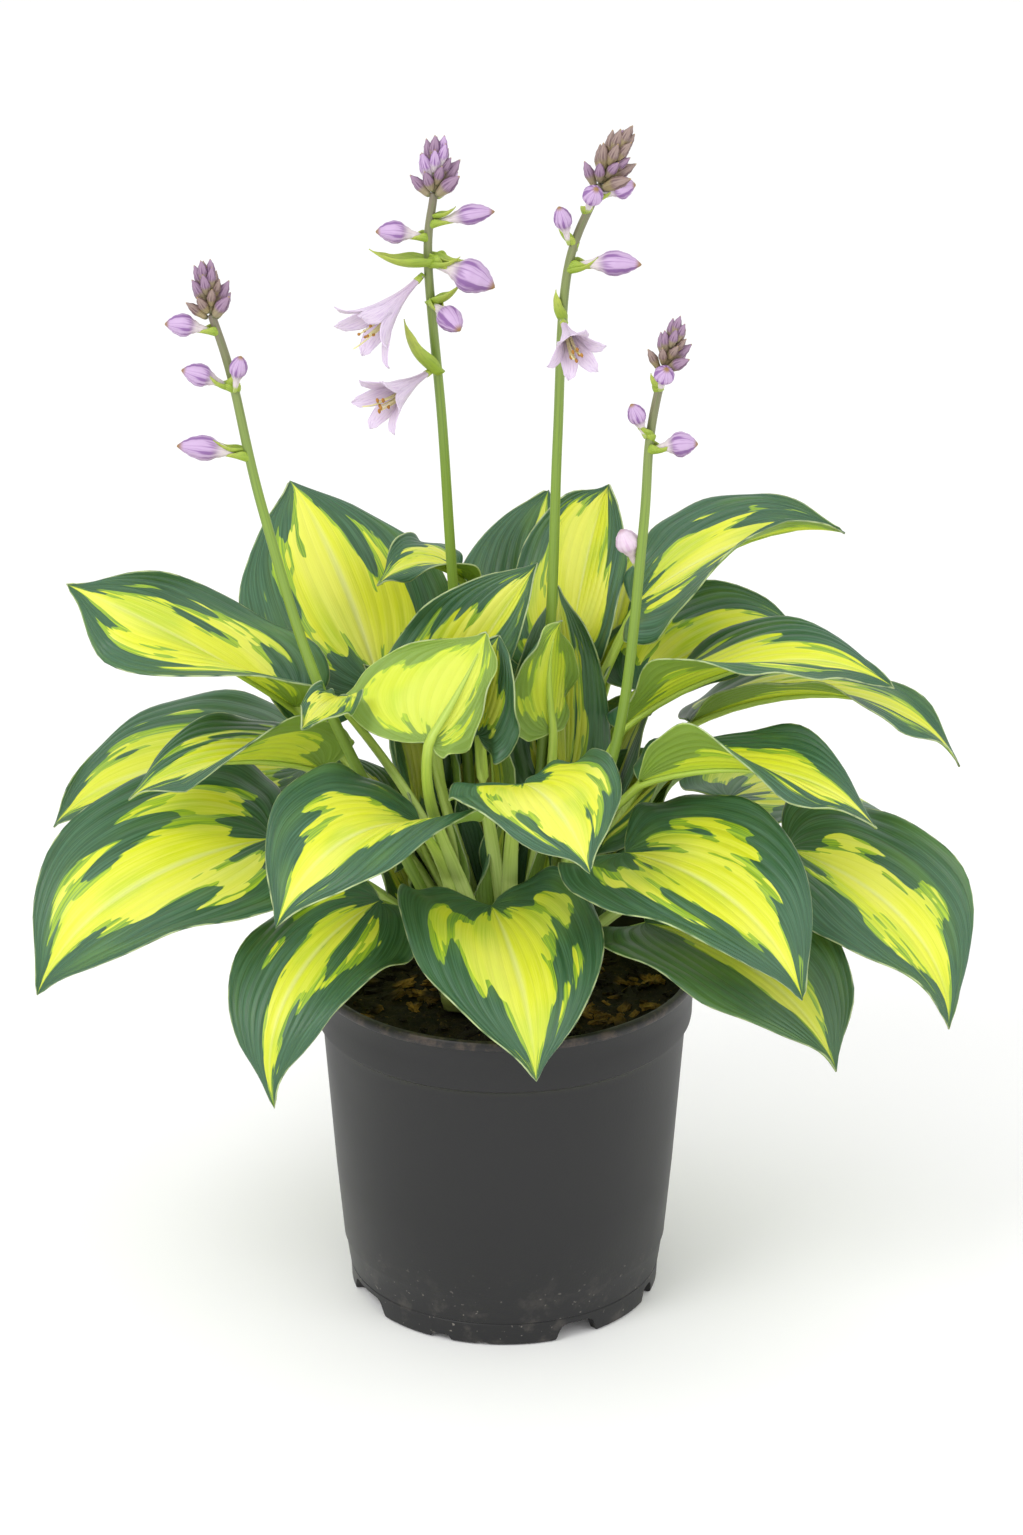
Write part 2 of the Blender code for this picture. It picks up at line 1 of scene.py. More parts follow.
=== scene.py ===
# %% [markdown]
# # A potted hosta
#
# The plant is a hosta with heart-shaped leaves, each with a yellow centre and
# a green margin, and four flower stems with lilac buds. It grows in a dark
# nursery pot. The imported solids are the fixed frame: they say how big each
# thing is and where it sits. This script dresses them with finished pieces.

import math
import random

import bpy
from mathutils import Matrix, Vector, kdtree, noise


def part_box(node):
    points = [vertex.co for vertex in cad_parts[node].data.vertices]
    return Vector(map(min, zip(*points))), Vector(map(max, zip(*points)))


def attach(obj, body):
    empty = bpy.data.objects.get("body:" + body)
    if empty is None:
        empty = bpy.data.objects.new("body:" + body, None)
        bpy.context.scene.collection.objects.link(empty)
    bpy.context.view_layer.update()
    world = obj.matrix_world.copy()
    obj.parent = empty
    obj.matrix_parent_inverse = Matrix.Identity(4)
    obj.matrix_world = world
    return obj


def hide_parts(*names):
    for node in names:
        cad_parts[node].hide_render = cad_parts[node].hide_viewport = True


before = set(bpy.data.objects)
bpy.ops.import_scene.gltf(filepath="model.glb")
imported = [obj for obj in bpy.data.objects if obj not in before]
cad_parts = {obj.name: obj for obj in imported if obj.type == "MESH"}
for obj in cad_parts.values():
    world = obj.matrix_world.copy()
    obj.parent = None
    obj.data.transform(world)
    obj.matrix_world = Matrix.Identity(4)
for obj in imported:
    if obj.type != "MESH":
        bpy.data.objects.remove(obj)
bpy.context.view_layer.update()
MM = 0.001
print("nodes in the frame:", len(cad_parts))


# %% [markdown]
# ## Camera, floor and light
#
# The plant stands on a white sweep in soft, even light, as in a studio. A
# large pale floor, a bright white world and two wide lamps do this: the world
# fills the shade between the leaves, and the lamps give them a soft gloss.

# %% Camera
CAMERA_PLACE = (0.0036, -2.1, 1.149)
LOOK_DOWN = 22.64  # degrees below level
LENS = 111.3

camera = bpy.data.objects.new("camera", bpy.data.cameras.new("camera"))
bpy.context.scene.collection.objects.link(camera)
camera.location = CAMERA_PLACE
camera.rotation_euler = (math.radians(90 - LOOK_DOWN), 0, 0)
camera.data.lens = LENS
camera.data.sensor_width = 36
bpy.context.scene.camera = camera
bpy.context.scene.view_settings.view_transform = "Standard"


# %% Selecting, in object mode
def deselect():
    if bpy.context.mode != "OBJECT":
        bpy.ops.object.mode_set(mode="OBJECT")
    bpy.ops.object.select_all(action="DESELECT")


def select(*pieces):
    """Select only these, the first one active."""
    deselect()
    for piece in pieces:
        piece.select_set(True)
    bpy.context.view_layer.objects.active = pieces[0]


# %% Put materials on a piece
def coat(piece, *materials):
    for material in materials:
        piece.data.materials.append(material)


# %% A new material, its node tree and its Principled inputs
def blank(name):
    made = bpy.data.materials.new(name)
    made.use_nodes = True
    return made, made.node_tree, made.node_tree.nodes["Principled BSDF"].inputs


def plain(name, colour, roughness):
    made, _, look = blank(name)
    look["Base Color"].default_value = (*colour, 1)
    look["Roughness"].default_value = roughness
    return made


# %% Floor
deselect()
bpy.ops.mesh.primitive_plane_add(size=12, location=(0, 1.0, -0.0003))
floor = bpy.context.object
floor.name = "floor"
sweep = plain("white_sweep", (0.95, 0.95, 0.95), 0.9)
glow = sweep.node_tree.nodes["Principled BSDF"].inputs
glow["Emission Color"].default_value = (1, 1, 1, 1)
glow["Emission Strength"].default_value = 0.03
coat(floor, sweep)

# %% Sky and lamps
world = bpy.data.worlds.new("studio")
bpy.context.scene.world = world
world.use_nodes = True
sky = world.node_tree.nodes["Background"].inputs
sky["Color"].default_value = (1, 1, 1, 1)
sky["Strength"].default_value = 1.0


def lamp(name, place, aim, size, watts):
    made = bpy.data.objects.new(name, bpy.data.lights.new(name, "AREA"))
    bpy.context.scene.collection.objects.link(made)
    made.data.shape = "DISK"
    made.data.size = size
    made.data.energy = watts
    made.location = place
    ray = Vector(aim) - Vector(place)
    made.rotation_euler = ray.to_track_quat("-Z", "Y").to_euler()


PLANT_MIDDLE = (0, 0, 0.3)
lamp("key", (-1.3, -1.5, 2.3), PLANT_MIDDLE, 1.2, 26)
lamp("fill", (1.6, -1.2, 1.6), PLANT_MIDDLE, 1.4, 8)


# %% [markdown]
# ## Two ways to lay a grid
#
# Leaves, petals and bracts are sheets, and stalks, stems and buds are tubes.
# Both start as a grid primitive. Every point of the grid knows how far along
# (u, 0 to 1) and how far across (v, -1 to 1) it is, and is moved to its place
# on the piece. The grid's own UV map then follows the piece, so veins and
# streaks can be painted along it.

# %% A sheet laid from a grid
def sheet_from_grid(name, across, along, place):
    deselect()
    bpy.ops.mesh.primitive_grid_add(x_subdivisions=across, y_subdivisions=along, size=2)
    piece = bpy.context.object
    piece.name = piece.data.name = name
    for point in piece.data.vertices:
        u, v = (point.co.y + 1) / 2, -point.co.x
        point.co = place(u, v) * MM
    return piece


# %% Weld the points that meet, and turn the faces out
def close_up(piece, gap=0.02, turn=True):
    select(piece)
    bpy.ops.object.mode_set(mode="EDIT")
    bpy.ops.mesh.select_all(action="SELECT")
    bpy.ops.mesh.remove_doubles(threshold=gap * MM)
    if turn:
        bpy.ops.mesh.normals_make_consistent(inside=False)
    bpy.ops.object.mode_set(mode="OBJECT")
    bpy.ops.object.shade_smooth()


# %% A tube laid from a grid
SKEWED = Vector((0.31, -0.87, 0.38))  # not in line with any tube


def tube_from_grid(name, around, along, centre, radius, up=None):
    """centre(u) is a point, radius(u, angle) a distance, up(u) the way of
    angle 0. The two ends are drawn in to a point."""
    step = 1e-3

    def frame_at(u):
        low, high = max(u - step, 0), min(u + step, 1)
        ahead = (centre(high) - centre(low)).normalized()
        over = up(u) if up else SKEWED
        over = (over - ahead * over.dot(ahead)).normalized()
        return centre(u), over, ahead.cross(over)

    frames = {}

    def place(u, v):
        inner = min(max((u - 0.5 / along) / (1 - 1 / along), 0), 1)
        key = round(inner, 6)
        if key not in frames:
            frames[key] = frame_at(inner)
        here, over, side = frames[key]
        if u < 1e-5 or u > 1 - 1e-5:
            return here
        angle = math.pi * v
        ray = over * math.cos(angle) + side * math.sin(angle)
        return here + ray * radius(inner, angle)

    piece = sheet_from_grid(name, around, along, place)
    close_up(piece)
    return piece


# %% Apply a modifier, and give a sheet its thickness
def apply(piece, modifier):
    select(piece)
    bpy.ops.object.modifier_apply(modifier=modifier.name)


def thicken(piece, thickness, back=0):
    """Half goes on each side; the far side's material is back slots on."""
    wall = piece.modifiers.new("wall", "SOLIDIFY")
    wall.thickness = thickness * MM
    wall.offset = 0
    wall.material_offset = back
    apply(piece, wall)
    bpy.ops.object.shade_smooth()


# %% Join pieces into one, and hand it over in place of a node
def joined(pieces, name):
    select(*pieces)
    if len(pieces) > 1:
        bpy.ops.object.join()
    whole = bpy.context.object
    whole.name = whole.data.name = name
    return whole


def hand_over(pieces, name):
    whole = joined(pieces, name + "_piece")
    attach(whole, "root")
    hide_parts(name)


# %% Number helpers
def smooth(low, high, x):
    t = min(max((x - low) / (high - low), 0), 1)
    return t * t * (3 - 2 * t)


def bezier(a, b, c, d, t):
    s = 1 - t
    return a * s**3 + b * (3 * s * s * t) + c * (3 * s * t * t) + d * t**3


def bezier_slope(a, b, c, d, t):
    s = 1 - t
    return (b - a) * (3 * s * s) + (c - b) * (6 * s * t) + (d - c) * (3 * t * t)


def rays(ahead):
    """The ray square to an axis, at any angle round it."""
    side = ahead.orthogonal().normalized()
    over = ahead.cross(side)
    return lambda angle: side * math.cos(angle) + over * math.sin(angle)


def through(points, t):
    """The place t (0 to 1) along a smooth curve through the points."""
    ends = [2 * points[0] - points[1], *points, 2 * points[-1] - points[-2]]
    at = min(max(t, 0), 1) * (len(points) - 1)
    k = min(int(at), len(points) - 2)
    t = at - k
    p0, p1, p2, p3 = ends[k : k + 4]
    return 0.5 * (
        2 * p1
        + (p2 - p0) * t
        + (2 * p0 - 5 * p1 + 4 * p2 - p3) * t * t
        + (3 * p1 - p0 - 3 * p2 + p3) * t**3
    )


def between(rows, x):
    """A number read off a smooth line through (x, number) rows."""
    for (x0, y0), (x1, y1) in zip(rows, rows[1:]):
        if x <= x1:
            return y0 + (y1 - y0) * smooth(x0, x1, x)
    return rows[-1][1]


# %% [markdown]
# ## Small helpers for materials
#
# A material is a chain of nodes. These helpers add a node, link what feeds it
# and give back its output, so that each recipe below reads like a sentence.

# %% Node helpers
def node(tree, kind, inputs=None, **settings):
    made = tree.nodes.new(kind)
    for key, value in settings.items():
        setattr(made, key, value)
    for key, value in (inputs or {}).items():
        if isinstance(value, bpy.types.NodeSocket):
            tree.links.new(value, made.inputs[key])
        else:
            made.inputs[key].default_value = value
    return made


def maths(tree, operation, *values):
    made = node(tree, "ShaderNodeMath", dict(enumerate(values)), operation=operation)
    return made.outputs[0]


def times(tree, first, second):
    return maths(tree, "MULTIPLY", first, second)


def waves(tree, value, count):
    """The size of a sine with this many half waves from 0 to 1."""
    sine = maths(tree, "SINE", times(tree, value, math.pi * count))
    return maths(tree, "ABSOLUTE", sine)


def ease(tree, value, low, high, out_low=0.0, out_high=1.0):
    facts = {"Value": value, "From Min": low, "From Max": high}
    facts |= {"To Min": out_low, "To Max": out_high}
    made = node(tree, "ShaderNodeMapRange", facts, interpolation_type="SMOOTHSTEP")
    return made.outputs["Result"]


def mixed(tree, factor, first, second, blend="MIX"):
    made = node(tree, "ShaderNodeMix", data_type="RGBA", blend_type=blend)
    for socket, value in ((0, factor), (6, first), (7, second)):
        if isinstance(value, bpy.types.NodeSocket):
            tree.links.new(value, made.inputs[socket])
        elif isinstance(value, tuple):
            made.inputs[socket].default_value = (*value, 1)
        else:
            made.inputs[socket].default_value = value
    return made.outputs[2]


def grained(tree, vector, scale, detail=2.0, roughness=0.5):
    facts = {"Vector": vector, "Scale": scale, "Detail": detail, "Roughness": roughness}
    return node(tree, "ShaderNodeTexNoise", facts).outputs["Fac"]


def stretched(tree, across, along, fine, long, shift=0.0):
    """A place in the grain: fine across the piece, long down it."""
    x, y = times(tree, across, fine), times(tree, along, long)
    return node(tree, "ShaderNodeCombineXYZ", {"X": x, "Y": y, "Z": shift}).outputs[0]


def spread(tree):
    """How far across and how far along its piece a point is, 0 to 1."""
    flat = node(tree, "ShaderNodeUVMap", uv_map="UVMap").outputs[0]
    return node(tree, "ShaderNodeSeparateXYZ", {0: flat}).outputs[:2]


def raised(tree, look, strength, distance, height):
    facts = {"Strength": strength, "Distance": distance, "Height": height}
    bump = node(tree, "ShaderNodeBump", facts)
    tree.links.new(bump.outputs[0], look["Normal"])
    return bump


def lit_through(look, weight, radius, scale=0.003):
    look["Subsurface Weight"].default_value = weight
    look["Subsurface Radius"].default_value = radius
    look["Subsurface Scale"].default_value = scale


def group(name, inputs, outputs):
    made = bpy.data.node_groups.new(name, "ShaderNodeTree")
    new_socket = made.interface.new_socket
    for label, kind, value in inputs:
        socket = new_socket(label, in_out="INPUT", socket_type="NodeSocket" + kind)
        socket.default_value = value
    for label, kind in outputs:
        new_socket(label, in_out="OUTPUT", socket_type="NodeSocket" + kind)
    start, end = made.nodes.new("NodeGroupInput"), made.nodes.new("NodeGroupOutput")
    return made, start.outputs, end.inputs


# %% [markdown]
# ## The leaf's pattern
#
# A variegated leaf is painted along its veins. The yellow centre runs out into
# the green margin in ragged flames, with a band of middle green between, and
# the edge itself is a hair-thin line of cream. The group below turns three
# facts about a point - how far along the leaf it is, how far across, and its
# distance from the edge in millimetres - into colour, gloss and vein height.

# %% Leaf pattern group
DEEP_GREEN = (0.022, 0.084, 0.034)
BLUE_GREEN = (0.060, 0.158, 0.082)
MIDDLE_GREEN = (0.150, 0.310, 0.035)
LIME = (0.420, 0.580, 0.025)
YELLOW = (0.680, 0.730, 0.016)
PALE_YELLOW = (0.830, 0.830, 0.150)
CREAM = (0.560, 0.660, 0.330)
VEIN_GREEN = (0.03, 0.07, 0.01)
RIB_YELLOW = (0.80, 0.85, 0.28)

leaf_pattern, given, out = group(
    "leaf_pattern",
    [
        ("Along", "Float", 0.5),
        ("Across", "Float", 0.0),
        ("Edge mm", "Float", 10.0),
        ("Margin mm", "Float", 14.0),
        ("Seed", "Float", 0.0),
    ],
    [("Colour", "Color"), ("Roughness", "Float"), ("Veins", "Float")],
)
t = leaf_pattern


def leaf_grain(fine, long, shift, detail=1.0):
    seed = maths(t, "ADD", given["Seed"], shift)
    place = stretched(t, given["Across"], given["Along"], fine, long, seed)
    return grained(t, place, 1.0, detail)


off_rib = maths(t, "ABSOLUTE", given["Across"])
flame = leaf_grain(6.0, 3.6, 0.0, 0.0)
tongue = leaf_grain(15.0, 6.5, 3.7)
fine = leaf_grain(90.0, 5.0, 7.9)
blotch = leaf_grain(3.0, 3.0, 11.3)
cloud = leaf_grain(2.2, 1.6, 15.9, 0.0)

flames = ease(t, flame, 0.32, 0.68, 0.48, 1.15)
tongues = ease(t, tongue, 0.36, 0.64, 0.0, 0.42)
reach = times(t, given["Margin mm"], maths(t, "ADD", flames, tongues))
reach = times(t, reach, ease(t, given["Along"], 0.55, 1.0, 1.0, 0.5))
reach = times(t, reach, ease(t, off_rib, 0.02, 0.30, 0.15, 1.0))
gap = maths(t, "SUBTRACT", reach, given["Edge mm"])
in_middle = ease(t, gap, -0.3, 0.5)
band = times(t, given["Margin mm"], ease(t, tongue, 0.40, 0.66, 0.02, 0.42))
in_margin = ease(t, maths(t, "SUBTRACT", gap, band), -0.3, 0.5)

centre = mixed(t, ease(t, blotch, 0.42, 0.70, 0.0, 0.75), YELLOW, LIME)
centre = mixed(t, ease(t, fine, 0.30, 0.75, 0.0, 0.38), centre, PALE_YELLOW)
centre = mixed(t, ease(t, cloud, 0.45, 0.7, 0.0, 0.55), centre, PALE_YELLOW)
margin = mixed(t, ease(t, fine, 0.3, 0.7), DEEP_GREEN, BLUE_GREEN)
margin = mixed(t, ease(t, blotch, 0.5, 0.8, 0.0, 0.35), margin, MIDDLE_GREEN)
middle = mixed(t, ease(t, fine, 0.3, 0.7), MIDDLE_GREEN, LIME)
colour = mixed(t, in_middle, centre, middle)
colour = mixed(t, in_margin, colour, margin)

ridge = waves(t, given["Across"], 8)
line = times(t, ease(t, ridge, 0.0, 0.3, 1.0, 0.0), ease(t, off_rib, 0.05, 0.09))
line = times(t, line, ease(t, in_margin, 0.0, 1.0, 0.09, 0.5))
colour = mixed(t, line, colour, mixed(t, 0.6, colour, VEIN_GREEN))
midrib = ease(t, off_rib, 0.010, 0.050, 1.0, 0.0)
midrib = times(t, midrib, ease(t, given["Along"], 0.4, 0.95, 0.62, 0.15))
colour = mixed(t, midrib, colour, RIB_YELLOW)
colour = mixed(t, ease(t, given["Edge mm"], 0.25, 0.75, 0.7, 0.0), colour, CREAM)
t.links.new(colour, out["Colour"])
t.links.new(ease(t, fine, 0.2, 0.8, 0.36, 0.48), out["Roughness"])
height = maths(t, "ADD", times(t, ridge, 0.8), times(t, fine, 0.35))
t.links.new(height, out["Veins"])
print("leaf pattern nodes:", len(leaf_pattern.nodes))


# %% [markdown]
# ## Leaf finishes
#
# The upper face shows the pattern in full. The underside of a hosta leaf is
# duller and paler, with the pattern showing through and the veins standing
# proud; its pale lime is partly the leaf's own colour and partly painted
# light, brightened for the light that shines through it. Light passes through
# the thin yellow parts, so both faces have a little subsurface scattering.

# %% Upper face and underside
# The underside's pale lime: partly its own colour, partly painted light for light shining
# through the leaf.
UNDER_GREEN_PALE_AND_LIT = (0.52, 0.72, 0.05)
SHADE_GREEN = (0.05, 0.11, 0.02)


def leaf_finish(name, under):
    made, tree, look = blank(name)
    across, along = spread(tree)

    def fact(label):
        return node(tree, "ShaderNodeAttribute", attribute_name=label).outputs["Fac"]

    pattern = node(tree, "ShaderNodeGroup", node_tree=leaf_pattern)
    for label, value in (
        ("Along", along),
        ("Across", maths(tree, "MULTIPLY_ADD", across, 2.0, -1.0)),
        ("Edge mm", fact("edge_mm")),
        ("Margin mm", fact("margin_mm")),
        ("Seed", fact("seed")),
    ):
        tree.links.new(value, pattern.inputs[label])
    colour, rough = pattern.outputs["Colour"], pattern.outputs["Roughness"]
    if under:
        # Partly painted light: the underside is brightened towards the pale lime beyond its own
        # paler colour.
        colour = mixed(tree, 0.38, colour, UNDER_GREEN_PALE_AND_LIT)
        rough = maths(tree, "ADD", rough, 0.16)
    # Painted shade: each leaf's shade fact darkens its whole colour towards SHADE_GREEN,
    # standing in for the shade it sits in.
    colour = mixed(tree, fact("painted_shade"), colour, mixed(tree, 0.85, colour, SHADE_GREEN))
    tree.links.new(colour, look["Base Color"])
    tree.links.new(rough, look["Roughness"])
    lit_through(look, 0.3 if under else 0.2, (1.0, 1.0, 0.25))
    bump = raised(tree, look, 0.5, 0.0006, pattern.outputs["Veins"])
    bump.invert = under
    return made


upper_face = leaf_finish("leaf_upper_face", False)
underside = leaf_finish("leaf_underside", True)


# %% [markdown]
# ## Stalks, stems and bracts
#
# Leaf stalks are pale where they leave the crown and take the leaf's yellow
# green further up, with fine lengthwise streaks. Flower stems are greener and
# turn a dusty purple near the buds. One group gives both their streaks.

# %% Streak group
streaks, given, out = group(
    "streaks",
    [
        ("Along", "Float", 0.5),
        ("Across", "Float", 0.0),
        ("Foot", "Color", (1, 1, 1, 1)),
        ("Top", "Color", (1, 1, 1, 1)),
        ("Shade", "Color", (0, 0, 0, 1)),
        ("Turn", "Float", 0.5),
    ],
    [("Colour", "Color"), ("Height", "Float")],
)
t = streaks
grain = grained(t, stretched(t, given["Across"], given["Along"], 22.0, 7.0), 1.0, 2.0)
wander = times(t, maths(t, "SUBTRACT", grain, 0.5), 0.25)
step = maths(t, "ADD", given["Along"], wander)
step = ease(t, maths(t, "SUBTRACT", step, given["Turn"]), -0.25, 0.25)
colour = mixed(t, step, given["Foot"], given["Top"])
colour = mixed(t, ease(t, grain, 0.45, 0.75, 0.0, 0.6), colour, given["Shade"])
t.links.new(colour, out["Colour"])
t.links.new(grain, out["Height"])


# %% A finish made with the streaks
def streaked(name, foot, top, shade, turn, roughness, bump=0.25, thin=0.0):
    made, tree, look = blank(name)
    across, along = spread(tree)
    streak = node(tree, "ShaderNodeGroup", node_tree=streaks)
    tree.links.new(along, streak.inputs["Along"])
    tree.links.new(across, streak.inputs["Across"])
    for label, colour in (("Foot", foot), ("Top", top), ("Shade", shade)):
        streak.inputs[label].default_value = (*colour, 1)
    streak.inputs["Turn"].default_value = turn
    tree.links.new(streak.outputs["Colour"], look["Base Color"])
    look["Roughness"].default_value = roughness
    if thin:
        lit_through(look, thin, (1.0, 0.8, 1.0))
    raised(tree, look, bump, 0.0004, streak.outputs["Height"])
    return made


stalk_green = streaked(
    "leaf_stalk", (0.50, 0.62, 0.20), (0.44, 0.58, 0.08), (0.28, 0.44, 0.07),
    turn=0.45, roughness=0.4, bump=0.15, thin=0.2,
)
stem_green = streaked(
    "flower_stem", (0.22, 0.34, 0.045), (0.20, 0.16, 0.13), (0.12, 0.21, 0.03),
    turn=0.78, roughness=0.42,
)
bract_green = streaked(
    "bract", (0.30, 0.42, 0.04), (0.42, 0.50, 0.07), (0.14, 0.24, 0.04),
    turn=0.5, roughness=0.5, bump=0.2, thin=0.1,
)


# %% [markdown]
# ## The shape of a leaf
#
# Every leaf is the same heart, drawn by its veins: curves that leave the
# stalk, swell out and meet at the tip. The flat heart is then carried along an
# arched midrib, each half is folded up or rolled under, and its edge is waved.
# The numbers for each leaf are its base and tip in millimetres, its half
# widths, and how it bends.

# %% The flat heart
def vein_point(u, v, lobe):
    edge = abs(v) ** 2
    s = 1 - u
    back, fore = -0.36 * lobe, 0.62
    x = 3 * s * s * u * ((1 - edge) / 3 + edge * back)
    x += 3 * s * u * u * ((1 - edge) * 2 / 3 + edge * fore) + u**3
    w = v * (3 * s * s * u * 1.25 + 3 * s * u * u * 1.45)
    return x, w * (1 - 0.35 * smooth(0.66, 1, u)) * (1 - 0.3 * smooth(0.84, 0.97, u))


# %% The bent leaf
class Blade:
    """One leaf blade: point(u, v) gives its place, veins and waves included."""

    def __init__(self, row, seed):
        base, tip, self.halves, arch, self.left, self.right, self.lobes, bends = row
        bend = {"sweep": 0, "roll": 0, "curl": 0, "wave": 3, "phase": 0, **bends}
        self.curl, self.wave, self.phase = bend["curl"], bend["wave"], bend["phase"]
        self.seed = seed
        base, tip = Vector(base), Vector(tip)
        self.length = (tip - base).length
        along = (tip - base) / self.length
        face = Vector((0, 0, 1)) - along * along.z
        face.normalize()
        turn = math.radians(bend["roll"])
        self.face = face * math.cos(turn) + along.cross(face) * math.sin(turn)
        push = self.face * arch + self.face.cross(along) * bend["sweep"]
        push = push / 0.75  # a cubic's middle goes 0.75 of the way to its handles
        self.rib = (
            base,
            base + along * (self.length * 0.3) + push * 0.8,
            base + along * (self.length * 0.76) + push * 1.22,
            tip,
        )

    def point(self, u, v, fine=True):
        half, lobe = self.halves[v >= 0], self.lobes[v >= 0]
        x, w = vein_point(u, v, lobe)
        t = max(x, 0)
        spine = bezier(*self.rib, t)
        along = bezier_slope(*self.rib, t).normalized()
        if x < 0:
            spine = spine + along * (x * self.length)
        lateral = self.face.cross(along).normalized()
        normal = along.cross(lateral)
        near_base, near_tip = self.left if w < 0 else self.right
        fade = min(max(x / 0.75, 0), 1) ** 2
        a = math.radians(near_base + (near_tip - near_base) * fade)
        b = math.radians(self.curl)
        q = abs(w)
        if abs(b) < 0.001:
            over, up = q * math.cos(a), q * math.sin(a)
        else:
            over = (math.sin(a + b * q) - math.sin(a)) / b
            up = (math.cos(a) - math.cos(a + b * q)) / b
        phase = self.phase + (1.1 if w > 0 else 0)
        up = up * half + self.wave * math.sin(7.5 * u + phase) * q * q
        if fine:
            up += self.relief(u, v, w, half)
        return spine + lateral * (math.copysign(over, w) * half) + normal * up

    def relief(self, u, v, w, half):
        """The raised veins, the sunk midrib and the ruffled edge, in mm."""
        swell = math.sin(math.pi * min(u * 1.15, 1)) * min(abs(w) * 3, 1)
        veins = 0.5 * (abs(math.sin(math.pi * 8 * v)) - 0.5) * swell * min(half / 40, 1)
        rib = 0.25 * math.exp(-((v / 0.05) ** 2)) * smooth(0, 0.1, u) * (1 - smooth(0.6, 1, u))
        lap = self.seed * 2.3 + (1.7 if w > 0 else 0)
        ruffle = 3.6 * math.sin(13.5 * u + lap) * abs(v) ** 4
        ruffle *= smooth(0.08, 0.3, u) * (1 - smooth(0.85, 1, u))
        ripple = math.sin(31 * u + lap * 1.7) * abs(v) ** 6
        return veins - rib + ruffle + ripple

    def normal(self, u):
        along = bezier_slope(*self.rib, u).normalized()
        return along.cross(self.face.cross(along).normalized())


# %% The stalk and the leaf, made and joined
CROWN_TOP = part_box("crown")[1][2] / MM
SUNK = 2  # how deep stalks and stems stand in the crown
STALK_SHARE = 0.72  # of the stalk's length; the rest runs under the blade
STALK_SHAPE = [
    (0, 4.6), (0.12, 3.6), (STALK_SHARE * 0.95, 2.5), (STALK_SHARE + 0.06, 1.9), (1, 0.45),
]
LEAF_GRID, YOUNG_GRID = (72, 44), (44, 26)
EDGE_STEPS = 160


def mark(piece, label, values):
    field = piece.data.attributes.new(label, "FLOAT", "POINT")
    field.data.foreach_set("value", values)


def leaf_blade(name, blade, grid, facts):
    piece = sheet_from_grid(name, *grid, blade.point)
    margin_line = kdtree.KDTree(2 * (EDGE_STEPS + 1))
    for i in range(EDGE_STEPS + 1):
        for k, v in enumerate((-1, 1)):
            margin_line.insert(blade.point(i / EDGE_STEPS, v), i * 2 + k)
    margin_line.balance()
    reach = [margin_line.find(point.co / MM)[2] for point in piece.data.vertices]
    mark(piece, "edge_mm", reach)
    for label, value in facts.items():
        mark(piece, label, [value] * len(reach))
    close_up(piece, 0.01, turn=False)
    coat(piece, upper_face, underside, stalk_green)
    thicken(piece, 0.7, back=1)
    return piece


def leaf_stalk(name, blade, root):
    neck = blade.point(0, 0, False) - blade.normal(0) * 1.2
    chord = neck - root
    bend = chord.normalized() * 1.2 + bezier_slope(*blade.rib, 0).normalized()
    bend.normalize()
    rise = Vector((0, 0, chord.length * 0.38))
    line = (root, root + rise, neck - bend * (chord.length * 0.3), neck)
    outward = Vector((chord.x, chord.y, 0)).normalized()
    inner = Vector((0, 0, 1)) - outward

    def under_blade(t):
        return (t - STALK_SHARE) / (1 - STALK_SHARE) * 0.8

    def centre(t):
        if t < STALK_SHARE:
            return bezier(*line, t / STALK_SHARE)
        u = under_blade(t)
        return blade.point(u, 0, False) - blade.normal(u) * (1.5 * (1 - u))

    def up(t):
        if t < STALK_SHARE:
            return inner.lerp(blade.normal(0), smooth(STALK_SHARE * 0.6, STALK_SHARE, t))
        return blade.normal(under_blade(t))

    def radius(t, angle):
        groove = max(math.cos(angle), 0) ** 3 * 0.6
        wide = 1 + 0.18 * math.sin(angle) ** 2
        return between(STALK_SHAPE, t) * wide * (1 - groove)

    stalk = tube_from_grid(name + "_stalk", 14, 34, centre, radius, up)
    coat(stalk, upper_face, underside, stalk_green)
    for side in stalk.data.polygons:
        side.material_index = 2
    return stalk


def leaf(name, ring, degrees, margin, painted_shade, row, seed, grid=LEAF_GRID):
    """Blade and stalk; the stalk stands on a ring of the crown."""
    a = math.radians(degrees)
    root = Vector((ring * math.cos(a), ring * math.sin(a), CROWN_TOP - SUNK))
    blade = Blade(row, seed)
    facts = {"margin_mm": margin, "seed": seed * 3.17, "painted_shade": painted_shade}
    return [leaf_blade(name, blade, grid, facts), leaf_stalk(name, blade, root)]
